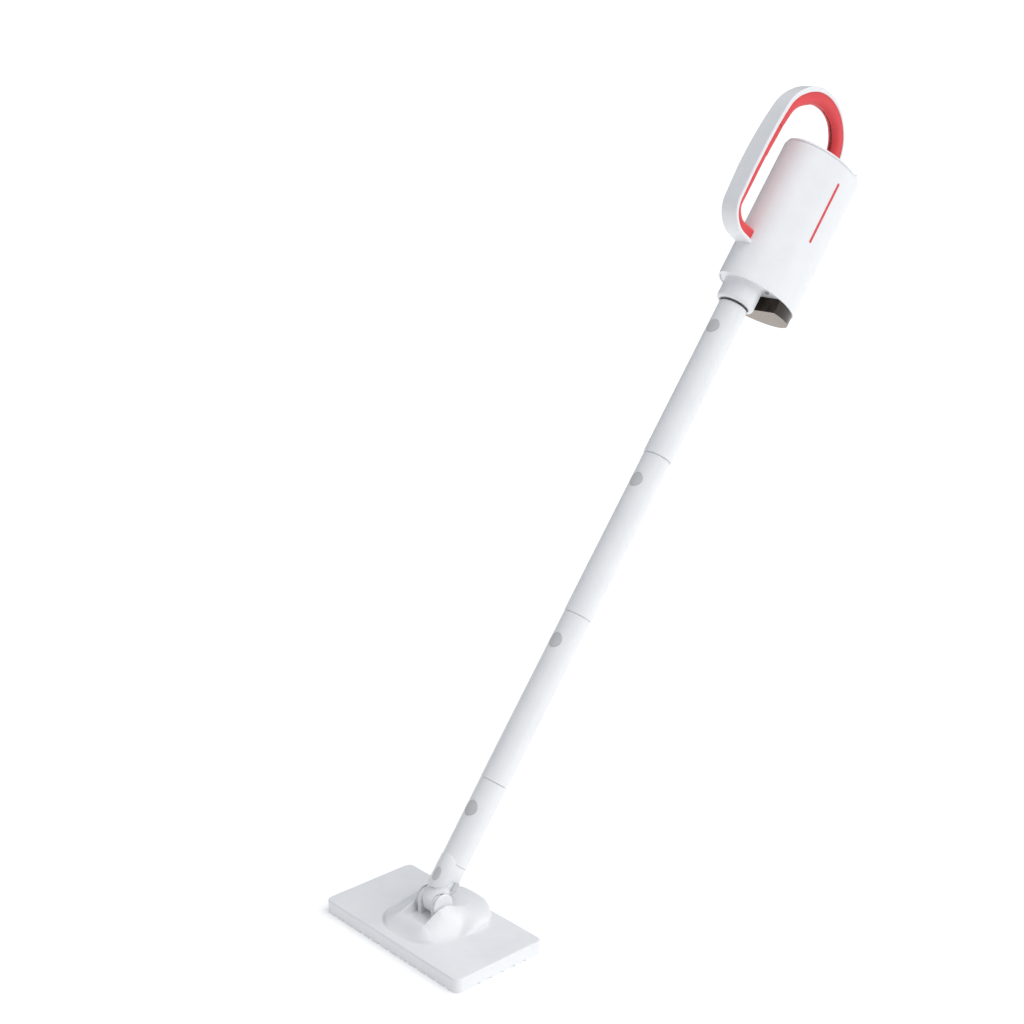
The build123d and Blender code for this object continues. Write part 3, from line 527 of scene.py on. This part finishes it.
def rounded_section(half_width, near, far, near_round, far_round, steps=7):
    """Rounded rectangle per station: four quarter arcs, each about a centre one rounding in from two sides.
    Each arc gets a support point beyond both its ends, which keeps the flats flat."""
    quarter = np.concatenate([[0.0], np.linspace(0.0, math.pi / 2, steps + 1), [math.pi / 2]])
    slide = np.zeros(steps + 3)
    slide[[0, -1]] = -SUPPORT, SUPPORT
    angle = (np.arange(4)[:, None] * math.pi / 2 + quarter).ravel()[None]
    slide = np.tile(slide, 4)[None]
    side = np.repeat([1, -1, -1, 1], steps + 3)[None]
    end = np.repeat([1, 1, -1, -1], steps + 3)[None]
    rounding = np.where(end > 0, far_round[:, None], near_round[:, None])
    middle, half = (near + far)[:, None] / 2, (far - near)[:, None] / 2
    x = side * (half_width[:, None] - rounding) + rounding * (np.cos(angle) - slide * np.sin(angle))
    depth = middle + end * (half - rounding) + rounding * (np.sin(angle) + slide * np.cos(angle))
    return np.stack([x, depth], -1)


def sweep(first, last, half_width, near, far, near_round, far_round):
    """Carry the section along the loop between two shares of it, as world points. A station one END_STEP
    inside each end keeps its cut face flat."""
    inner = travel[(travel > first + 2 * END_STEP) & (travel < last - 2 * END_STEP)]
    share = np.concatenate([[first, first + END_STEP], inner, [last - END_STEP, last]])
    tables = (half_width, near, far, near_round, far_round)
    section = rounded_section(*[read_table(share, table) * MM for table in tables])
    at = np.stack([np.interp(share, travel, path[:, i]) for i in (0, 1)], -1)
    into = np.stack([np.interp(share, travel, inward[:, i]) for i in (0, 1)], -1)
    place = at[:, None] + into[:, None] * section[..., 1:]
    return from_pole(np.concatenate([section[..., :1], place], -1))


band = sweep(0.0, 1.0,
             half_width=[(0, 13.0), (0.12, 13.6), (0.3, 15.0), (0.42, 14.0), (0.55, 12.2), (0.68, 11.2),
                         (0.82, 9.6), (1, 9.4)],
             near=[(0, 0), (1, 0)],
             far=[(0, 5), (0.45, 5.5), (0.62, 7.2), (0.74, 5.0), (0.86, 2.6), (1, 2.4)],
             near_round=[(0, 1.6), (0.6, 1.8), (0.86, 1.2), (1, 1.2)],
             far_round=[(0, 1.0), (0.8, 1.0), (0.9, 0.8), (1, 0.8)])
dress(add_mesh("handle_band", *tube_mesh(band), "pole", "white", "handle_shell"))

# %% [markdown]
# ### The grip and the trigger
# The grip is the same sweep with a deep, round far side. The trigger fills a stretch of it, so the grip is
# made in two lengths, and a thin strip behind the trigger joins them. The trigger itself rides on its own
# body. A hair of space, given as a share of the loop, is left at each of its ends so that it can rock.

# %% Grip and trigger
trigger_low, trigger_high = pole_box("trigger")
heights = path[:, 1]
front_run = (travel > 0.1) & (travel < 0.6)
TRIGGER_FROM, TRIGGER_TO = np.interp([trigger_low[2], trigger_high[2]], heights[front_run], travel[front_run])
GRIP = dict(half_width=[(0, 10.0), (0.14, 9.6), (0.25, 9.0), (0.45, 8.8), (0.7, 9.4), (0.85, 8.8), (1, 8.6)],
            near_round=[(0, 0.4), (1, 0.4)],
            far_round=[(0, 4.5), (0.12, 6.5), (0.5, 7.8), (0.8, 8.0), (1, 8.0)])
GRIP_NEAR = [(0, 4.6), (0.45, 5.1), (0.62, 6.8), (0.74, 4.6), (0.86, 2.2), (1, 2.0)]
GRIP_FAR = [(0, 21.0), (0.08, 19.0), (0.15, 17.5), (0.25, 21.0), (0.42, 21.6), (0.52, 23.0), (0.6, 25.2),
            (0.68, 24.0), (0.8, 19.6), (1, 18.6)]
HAIR = 0.0008
PIN_HAIR = 0.0022
STRIP_OVERLAP = 0.03
POCKET = (trigger_low[1] - FRONT) / MM
STRIP_FACE = POCKET - 4.2
LEVER_BACK = POCKET - 3.8
LEVER_FACE = 21.6


def level(size):
    """Table of a size that stays the same all along the loop."""
    return [(0, size), (1, size)]


lengths = {"grip_low": (0.0, TRIGGER_FROM - HAIR), "grip_high": (TRIGGER_TO + HAIR, 1.0)}
for name, (first, last) in lengths.items():
    grip_length = sweep(first, last, near=GRIP_NEAR, far=GRIP_FAR, **GRIP)
    dress(add_mesh(name, *tube_mesh(grip_length), "pole", "red"))
strip = sweep(TRIGGER_FROM - STRIP_OVERLAP, TRIGGER_TO + STRIP_OVERLAP, half_width=level(8.2),
              near=GRIP_NEAR, far=level(STRIP_FACE), near_round=level(0.4), far_round=level(0.4))
dress(add_mesh("grip_strip", *tube_mesh(strip), "pole", "red",
               "handle_grip", "trigger_pin", "micro_switch"))
lever = sweep(TRIGGER_FROM + HAIR / 2, TRIGGER_TO - PIN_HAIR, half_width=GRIP["half_width"],
              near=level(LEVER_BACK), far=level(LEVER_FACE), near_round=level(0.6), far_round=level(6.5))
dress(add_mesh("trigger_lever", *tube_mesh(lever), "trigger", "red", "trigger"))
print("trigger covers", round(TRIGGER_FROM, 3), "to", round(TRIGGER_TO, 3), "of the loop")

# %% [markdown]
# ## The casing
# The hand unit's casing is an oval sleeve, cut at a slant at both ends. Ovals could be made by scaling a
# lathed cylinder, but then the walls would be thinner at the sides. Here each ring is its own ellipse, drawn
# in by a stated inset, and a profile of (inset, height) pairs goes up the outside and down the inside.

# %% Sleeve
HALF_X = (body_high[0] - body_low[0]) / 2
HALF_Y = (body_high[1] - body_low[1]) / 2
MIDDLE_Y = (body_high[1] + body_low[1]) / 2
TOP_SLOPE = 0.12
BOTTOM_SLOPE = 0.085
TOP = body_high[2] - TOP_SLOPE * HALF_Y
BOTTOM = body_low[2] + BOTTOM_SLOPE * HALF_Y
RIM = 10.0 * MM
WALL = 2.6 * MM
RING_POINTS = 160


def slanted(outline):
    """Outline rows (inset, height) with a slope each, blended by height from lower rim to upper."""
    inset, height = np.asarray(outline, float).T
    slope = np.interp(height, [BOTTOM + RIM, TOP - RIM], [BOTTOM_SLOPE, TOP_SLOPE])
    return np.stack([inset, height, slope], -1)


sleeve_outline = soften([(0, BOTTOM), (0, TOP), (WALL, TOP), (WALL, BOTTOM)],
                        np.array([0.5, 1.2, 0.4, 0.4]) * MM)
sleeve = oval_rings(slanted(sleeve_outline), HALF_X, HALF_Y, MIDDLE_Y, RING_POINTS)
dress(add_mesh("casing_sleeve", *tube_mesh(from_pole(sleeve), True), "pole", "white", "body_shell"))

# %% [markdown]
# ### Lid, hatch and collar
# The lid sits in the sleeve's mouth with a thin grey ring round it, which is painted shade in the gap
# between lid and sleeve. The lid is a low oval block with a soft edge. Behind the handle's leg a second,
# higher cover carries the gland for the supply lead. It is the same oval with everything in front of a
# straight line pressed back onto that line. The collar below the casing is one ring, wide and softly
# rounded at its foot, whose hole is as wide as the tube.

# %% Lid, hatch and collar
LID_RISE = 5.0 * MM
HATCH_RISE = 9.0 * MM
HATCH_FRONT = 66.0 * MM
CORE = 0.97         # inset of a block's smallest ring, as a share of the half width
DEEPEST = 0.9       # largest inset that still narrows the length of a block's ellipse, in the same share
NO_FRONT = -1.0     # a line so far forward that it cuts nothing


def oval_block(inset, bottom, top, rounding, front=NO_FRONT):
    """Solid oval block: its profile goes from near the middle of the floor up the side to the middle of the
    top. Points in front of the given line move back onto it, each by its own row's inset, and then come in
    sideways to the ellipse x = (half width - inset) * sqrt(1 - back^2) at their new place."""
    core = HALF_X * CORE
    outline = soften([(core, bottom), (inset, bottom), (inset, top), (core, top)],
                     [0, 0.3 * MM, rounding, 0], 7, False)
    rows = np.column_stack([outline, np.full(len(outline), TOP_SLOPE)])
    rings = oval_rings(rows, HALF_X, HALF_Y, MIDDLE_Y, RING_POINTS)
    unsloped = rings[..., 2] - TOP_SLOPE * (rings[..., 1] - MIDDLE_Y)
    rings[..., 1] = np.maximum(rings[..., 1], front + np.minimum(rows[:, :1], rounding + inset))
    rings[..., 2] = unsloped + TOP_SLOPE * (rings[..., 1] - MIDDLE_Y)
    back = (rings[..., 1] - MIDDLE_Y) / (HALF_Y - np.minimum(rows[:, :1], HALF_X * DEEPEST))
    reach = (HALF_X - rows[:, :1]) * np.sqrt(np.clip(1.0 - back ** 2, 0.0, 1.0))
    rings[..., 0] = np.clip(rings[..., 0], -reach, reach)
    return from_pole(rings)


lid = oval_block(WALL - 0.6 * MM, TOP + 1.3 * MM, TOP + LID_RISE, 1.8 * MM)
dress(add_mesh("lid", *tube_mesh(lid), "pole", "white", "top_cap"))
# painted shade: a thin grey ring standing in the gap between lid and sleeve, where shade falls
lid_gap_shade = oval_block(WALL + 0.5 * MM, TOP - 4.0 * MM, TOP + 1.5 * MM, 0.3 * MM)
dress(add_mesh("lid_gap_shade", *tube_mesh(lid_gap_shade), "pole", "grey"))
hatch = oval_block(WALL + 0.3 * MM, TOP - 1.0 * MM, TOP + HATCH_RISE, 2.2 * MM, HATCH_FRONT)
dress(add_mesh("lid_hatch", *tube_mesh(hatch), "pole", "white", "rear_hatch"))

collar_low, collar_high = pole_box("collar")
tube_radius = pole_box("upper_tube")[1][0]
COLLAR_RADIUS = (collar_high[0] - collar_low[0]) / 2
COLLAR_FOOT = collar_low[2] - 3.4 * MM
COLLAR_WALL = COLLAR_RADIUS - tube_radius - 0.2 * MM
collar_outline = soften([(COLLAR_WALL, COLLAR_FOOT), (0, COLLAR_FOOT),
                         (0, collar_high[2]), (COLLAR_WALL, collar_high[2])],
                        np.array([0.6, 4.5, 0.3, 0.3]) * MM)
collar_rows = np.column_stack([collar_outline, np.zeros(len(collar_outline))])
neck_collar = oval_rings(collar_rows, COLLAR_RADIUS, COLLAR_RADIUS, 0.0, 96)
dress(add_mesh("neck_collar", *tube_mesh(from_pole(neck_collar), True), "pole", "white", "collar"))

# %% [markdown]
# ## The swivel
# The joint at the bottom is a fork on a knuckle. The fork ends the tube and swings from side to side on the
# knuckle, so its lower edge is a circle about the swing axis. The knuckle tips with the whole pole about the
# head's pin. A boolean would cut these shapes as well, but it leaves ragged faces. Here each surface is one
# grid, and places that must give way are pressed in by a formula. Sizes from here on are in millimetres, and
# the grids turn them to metres at the end.

# %% Fork
SWING_Z = np.dot(np.array(joints["swing"]["pos_m"], float) - PIVOT, ALONG) / MM
SEAM_RADIUS = 17.2
FORK_RADIUS = 18.1
FORK_TOP = 50.2
FORK_CREST = 9.0
CREST_REACH = 0.82
FORK_INSIDE_TOP = 49.0
# one row per ring, up the outside and in: radius, lift off its edge, and 1 where that edge is the upper one
FORK_RINGS = np.array([(14.6, 0.0, 0), (17.4, 0.0, 0), (17.8, 0.15, 0), (18.1, 0.7, 0),
                       (18.1, -0.5, 1), (17.9, -0.1, 1), (17.3, 0.0, 1), (14.6, 0.0, 0)])


def full_turn(columns):
    """Angles of a closed ring, from 0 round to just short of a full turn."""
    return np.linspace(0.0, 2.0 * math.pi, columns, endpoint=False)


def fork_grid(columns=192):
    """Ring whose lower edge follows z = swing - sqrt(seam^2 - x^2), and whose upper edge bows up over the
    cap as half an ellipse: top + crest * sqrt(1 - (across / reach)^2)."""
    angle = full_turn(columns)
    across = np.abs(np.cos(angle))
    low = SWING_Z - np.sqrt(np.maximum(SEAM_RADIUS ** 2 - (FORK_RADIUS * across) ** 2, 0.0))
    high = FORK_TOP + FORK_CREST * np.sqrt(np.clip(1.0 - (across / CREST_REACH) ** 2, 0.0, 1.0))
    radius, lift, upper = FORK_RINGS.T
    height = np.where(upper[:, None] > 0, high, low) + lift[:, None]
    height[-1] = np.maximum(low + 1.0, FORK_INSIDE_TOP)
    place = np.stack([radius[:, None] * np.cos(angle), radius[:, None] * np.sin(angle), height], -1)
    return from_pole(place * MM)


dress(add_mesh("neck_fork", *tube_mesh(fork_grid(), True), "pole", "white", "neck_yoke"))


CAP_HALF_X, CAP_HALF_Z = 5.9, 8.8
CAP_POWER = 0.85
CAP_STAND = 0.45


def squircle(angle, power):
    """Cosine and sine of an angle, each raised to a power with its sign kept: the ring of a superellipse."""
    cos, sin = np.cos(angle), np.sin(angle)
    return np.sign(cos) * np.abs(cos) ** power, np.sign(sin) * np.abs(sin) ** power


def cap_grid(rings=12, columns=48):
    """Superellipse disc bent onto the fork: y = -sqrt(R^2 - x^2), with a rim that falls back behind it."""
    cos, sin = squircle(full_turn(columns)[None], CAP_POWER)
    share = np.concatenate([[1.0, 1.0, 0.97], np.linspace(0.93, 0.02, rings)])[:, None]
    back = np.concatenate([[2.5, 0.35, 0.08], np.zeros(rings)])[:, None]
    x = share * CAP_HALF_X * cos
    z = SWING_Z + share * CAP_HALF_Z * sin
    y = back - np.sqrt((FORK_RADIUS + CAP_STAND) ** 2 - x ** 2)
    return from_pole(np.stack([x, y, z], -1) * MM)


dress(add_mesh("swing_badge", *tube_mesh(cap_grid()), "pole", "grey", "swing_cap"))

# %% [markdown]
# The knuckle is a stack of rounded rings. Its half width and half depth come from a table of heights above
# the pin. Two rules then press it in: within reach of the ears it is no wider than the gap between them, and
# within the fork's seam circle it is no deeper than the space between the fork's cheeks.

# %% Knuckle
EAR_REACH = 14.2
EAR_GAP = 9.6
CHEEK_GAP = 14.3
FREE = 20.0         # a half width that no part of the knuckle reaches
SHOULDER = 16.6
KNUCKLE_FOOT, KNUCKLE_WAIST, KNUCKLE_TOP = -12.6, 22.0, 47.0
KNUCKLE_POWER = 0.9
KNUCKLE_SIDE = [(-12.6, 9.6), (-6, 12.0), (0, 16.6), (8, 16.8), (14, 15.8), (20, 15.2), (31, 16.6)]
KNUCKLE_FRONT = [(-12.6, 2.0), (-9, 9.0), (-4, 14.4), (0, 16.2), (5, 15.9), (12, 15.0), (20, 15.4),
                 (31, 17.2)]
KNUCKLE_REAR = [(-12.6, 2.0), (-9, 8.7), (-4, 11.9), (0, 12.5), (8, 12.5), (14, 15.0), (20, 16.4),
                (31, 17.2)]


def ease(value, low, high):
    """Smooth step: 0 below low, 1 above high, t * t * (3 - 2 t) between."""
    t = np.clip((value - low) / (high - low), 0.0, 1.0)
    return t * t * (3.0 - 2.0 * t)


def knuckle_grid(rows=150, columns=160):
    """Rings x = a cos^0.9, y = b sin^0.9 up the pole, pressed in near the ears and inside the fork. Above
    the swing axis the half width a is a circle's, so the top is a drum that the fork turns on."""
    z = np.concatenate([np.linspace(KNUCKLE_FOOT, KNUCKLE_WAIST, rows),
                        np.linspace(KNUCKLE_WAIST, KNUCKLE_TOP, rows // 2)[1:]])[:, None]
    drum = np.sqrt(np.maximum(SHOULDER ** 2 - (z - SWING_Z) ** 2, 0.2))
    a = np.where(z > SWING_Z, drum, read_table(z, KNUCKLE_SIDE))
    cos, sin = squircle(full_turn(columns)[None], KNUCKLE_POWER)
    x = a * cos
    y = np.where(sin < 0, read_table(z, KNUCKLE_FRONT), read_table(z, KNUCKLE_REAR)) * sin
    reach = np.hypot(y, z)
    free = ease(reach, EAR_REACH, EAR_REACH + 0.8) * np.where(y > 0, ease(z, 11.0, 13.0), 1.0)
    limit = EAR_GAP + (FREE - EAR_GAP) * free
    x = np.clip(x, -limit, limit)
    depth = CHEEK_GAP + 4.0 * ease(np.hypot(x, z - SWING_Z), SEAM_RADIUS + 0.1, SEAM_RADIUS + 0.6)
    y = np.clip(y, -depth, depth)
    return from_pole(np.stack([x, y, np.broadcast_to(z, x.shape)], -1) * MM)


dress(add_mesh("knuckle_body", *tube_mesh(knuckle_grid()), "knuckle", "white", "knuckle"))


CHEEK_INSIDE, CHEEK_OUTSIDE = 15.9, 18.7
CHEEK_RADIUS = 15.0


def cheek_grid(side, columns=96):
    """Round cheek outside an ear: circles about the pin, from its inner face to its rounded outer one."""
    outline = soften([(CHEEK_INSIDE, 2.0), (CHEEK_INSIDE, CHEEK_RADIUS), (CHEEK_OUTSIDE, CHEEK_RADIUS),
                      (CHEEK_OUTSIDE, 0.3)], [0, 0.4, 2.2, 0], 7, False)
    angle = full_turn(columns)[None]
    x = np.broadcast_to(side * outline[:, :1], (len(outline), columns))
    return from_pole(np.stack([x, outline[:, 1:] * np.cos(angle), outline[:, 1:] * np.sin(angle)], -1) * MM)


for side, name in ((-1, "knuckle_cheek_left"), (1, "knuckle_cheek_right")):
    dress(add_mesh(name, *tube_mesh(cheek_grid(side)), "knuckle", "white"))

# %% [markdown]
# ## The mound on the head
# Round the joint the head's cover swells into a smooth mound, with a tray in front and a saddle behind that
# the pole can lean into. It is a height field: a plan of superellipse rings, and a height for every point
# of the plan. The same could be sculpted, but with a formula the room for the moving parts is a number.

# %% Mound
PLATE = 17.3
MOUND_MIDDLE, MOUND_HALF = (0.0, 4.5), (68.0, 65.5)
DOME_RISE = 13.2
DOME_MIDDLE = 24.0
DOME_SIDE, DOME_BACK, DOME_FRONT = 61.0, 43.2, 84.0
DOME_POWER = 3.1
RIDGE_SIDE, RIDGE_END = 22.0, -31.0
RIDGE_FADE = (38.0, 28.0)
RIDGE_PEAK = -0.12
RIDGE_CREST = [(-31, 12.0), (-22, 15.5), (-6, 22.5), (5, 24.0), (14, 21.0), (26, 15.0), (48, 9.0)]
BLEND_POWER = 6
TRAY_FLOOR = [(-40, 6.4), (14, 6.4), (20, 9.0), (50, 16.0)]
TRAY_HALF = [(-30, 20.6), (-14, 19.5), (20, 19.5)]


def mound_height(x, y):
    """Sixth-power blend, (a^6 + b^6)^(1/6), of a dome, boxy behind and soft in front, and of two ridges
    that stand beside the joint. It is then lowered to the tray in front of the joint and to the saddle
    behind it, and faded out towards the front rim."""
    depth = np.where(y > DOME_MIDDLE, DOME_BACK, DOME_FRONT)
    out = ((np.abs(x) / DOME_SIDE) ** DOME_POWER
           + (np.abs(y - DOME_MIDDLE) / depth) ** DOME_POWER) ** (1 / DOME_POWER)
    behind = ease(y, -8.0, 34.0)
    boxy = np.clip(1.0 - out ** 4.5, 0.0, 1.0) ** 0.5
    dome = DOME_RISE * (behind * boxy + (1.0 - behind) * (1.0 - ease(out, 0.2, 1.0)))
    away = np.hypot(np.maximum(np.abs(x) - RIDGE_SIDE, 0.0) / RIDGE_FADE[0],
                    np.maximum(RIDGE_END - y, 0.0) / RIDGE_FADE[1])
    ridge = read_table(y, RIDGE_CREST)
    ridge = ridge * (1.0 - ease(away, RIDGE_PEAK, 1.0)) / (1.0 - ease(0.0, RIDGE_PEAK, 1.0))
    rise = (dome ** BLEND_POWER + ridge ** BLEND_POWER) ** (1 / BLEND_POWER)
    half_way = read_table(y, TRAY_HALF)
    inside = (1.0 - ease(np.abs(x), half_way, half_way + 1.2)) * ease(y, -30.0, -28.7)
    rim = ((x / MOUND_HALF[0]) ** 2 + ((y - MOUND_MIDDLE[1]) / MOUND_HALF[1]) ** 2) ** 0.5
    fade = 1.0 - ease(rim, 0.9, 0.995) * (y < DOME_MIDDLE)
    return PLATE + fade * rise + inside * np.minimum(read_table(y, TRAY_FLOOR) - rise, 0.0)


def mound_grid(rings=140, columns=300):
    """Superellipse rings of exponent 2.4 from the rim to the middle, each point lifted to the mound's
    height, and one ring below the rim as a skirt."""
    cos, sin = squircle(full_turn(columns)[None], 2.0 / 2.4)
    share = np.linspace(1.0, 0.004, rings)[:, None]
    x = MOUND_MIDDLE[0] + share * MOUND_HALF[0] * cos
    y = MOUND_MIDDLE[1] + share * MOUND_HALF[1] * sin
    top = np.stack([x, y, mound_height(x, y)], -1)
    skirt = top[:1] - [0.0, 0.0, 1.2]
    return np.concatenate([skirt, top]) * MM


dress(add_mesh("hinge_mound", *tube_mesh(mound_grid()), "head", "white", "dome_cover"))

# %% [markdown]
# ### Two small grey parts
# On the right of the joint a grey latch stands on the tube, and a rounded grey stop sits below it on the
# knuckle. The latch's grey is also painted shade of the opening at the side of the fork. Both are rounded
# prisms: the corners of the plan are arcs, and an inset shrinks the arcs' radius.

# %% Catch and stop
def rounded_prism(low, high, corner, edge, steps=5):
    """Box between two corners: plan corners of radius corner, upper and lower edges softened by edge. A
    ring with inset i uses arcs of radius corner - i about the same four centres."""
    low, high = np.asarray(low, float), np.asarray(high, float)
    core = corner * 0.9
    outline = soften([(core, low[2]), (0, low[2]), (0, high[2]), (core, high[2])],
                     [0, edge, edge, 0], steps, False)
    angle = (np.arange(4)[:, None] * math.pi / 2 + np.linspace(0.0, math.pi / 2, steps + 1)).ravel()
    side = np.repeat([1, -1, -1, 1], steps + 1)
    end = np.repeat([1, 1, -1, -1], steps + 1)
    middle, half = (low + high) / 2, (high - low) / 2
    radius = corner - outline[:, :1]
    x = middle[0] + side * (half[0] - corner) + radius * np.cos(angle)
    y = middle[1] + end * (half[1] - corner) + radius * np.sin(angle)
    z = np.broadcast_to(outline[:, 1:], x.shape)
    return from_pole(np.stack([x, y, z], -1) * MM)


# grey latch on the tube; its grey also stands as painted shade of the opening beside the fork
catch_and_gap_shade = rounded_prism((12.0, 0.5, 20.0), (18.9, 9.0, 32.0), corner=1.6, edge=0.8)
dress(add_mesh("tube_catch_and_gap_shade", *tube_mesh(catch_and_gap_shade), "pole", "grey"))
stop = rounded_prism((11.0, 2.5, 12.0), (17.6, 9.5, 16.4), corner=2.0, edge=1.2)
dress(add_mesh("tube_stop", *tube_mesh(stop), "knuckle", "grey"))

# %% [markdown]
# ## Floor, light and finish
# A plain pale floor, bright enough to melt into the background. One large soft sun from the right gives the
# white casing its bright side. A weaker one overhead and a faint, slightly blue sky fill the left, which
# stays a cool grey. The camera itself sees a white background instead of that sky, so the fill can be dim
# without a grey backdrop.

# %% Floor
FLOOR_SIZE = 60.0
corner_signs = [(-1, -1), (1, -1), (1, 1), (-1, 1)]
floor_points = [(x * FLOOR_SIZE, y * FLOOR_SIZE, 0) for x, y in corner_signs]
floor_mesh = bpy.data.meshes.new("studio_floor")
floor_mesh.from_pydata(floor_points, [], [(0, 1, 2, 3)])
floor = bpy.data.objects.new("studio_floor", floor_mesh)
bpy.context.scene.collection.objects.link(floor)
floor_paint = bpy.data.materials.new("studio_floor_paint")
floor_paint.use_nodes = True
floor_shader = floor_paint.node_tree.nodes["Principled BSDF"]
floor_shader.inputs["Base Color"].default_value = (0.93, 0.93, 0.93, 1)
floor_shader.inputs["Roughness"].default_value = 1.0
floor_shader.inputs["Specular IOR Level"].default_value = 0.0
floor_shader.inputs["Emission Color"].default_value = (1, 1, 1, 1)
floor_shader.inputs["Emission Strength"].default_value = 0.25
floor_mesh.materials.append(floor_paint)

# %% Lights
def add_sun(name, strength, softness, from_direction):
    """Soft sun that shines from a direction towards the origin."""
    data = bpy.data.lights.new(name, "SUN")
    data.energy = strength
    data.angle = math.radians(softness)
    lamp = bpy.data.objects.new(name, data)
    lamp.rotation_euler = Vector(from_direction).to_track_quat("Z", "Y").to_euler()
    bpy.context.scene.collection.objects.link(lamp)


RIGHT = camera.rotation_euler.to_matrix() @ Vector((1, 0, 0))
TOWARDS = camera.rotation_euler.to_matrix() @ Vector((0, 0, 1))
add_sun("key", 1.78, 70.0, RIGHT * 0.9 + TOWARDS * 0.15 + Vector((0, 0, 0.95)))
add_sun("overhead", 0.85, 120.0, Vector((0, 0, 1)) + TOWARDS * 0.2)
world = bpy.data.worlds.new("studio")
world.use_nodes = True
sky = world.node_tree.nodes["Background"]
sky.inputs["Color"].default_value = (0.86, 0.92, 1.0, 1)
sky.inputs["Strength"].default_value = 0.26
backdrop = world.node_tree.nodes.new("ShaderNodeBackground")
backdrop.inputs["Color"].default_value = (1, 1, 1, 1)
backdrop.inputs["Strength"].default_value = 1.1
ray = world.node_tree.nodes.new("ShaderNodeLightPath")
choose = world.node_tree.nodes.new("ShaderNodeMixShader")
world.node_tree.links.new(ray.outputs["Is Camera Ray"], choose.inputs["Fac"])
world.node_tree.links.new(sky.outputs["Background"], choose.inputs[1])
world.node_tree.links.new(backdrop.outputs["Background"], choose.inputs[2])
world.node_tree.links.new(choose.outputs["Shader"], world.node_tree.nodes["World Output"].inputs["Surface"])
bpy.context.scene.world = world
bpy.context.scene.view_settings.view_transform = "Standard"

# %% [markdown]
# ## Last update
# The finished looks must fit the frame's box.

# %% Last update
bpy.context.view_layer.update()
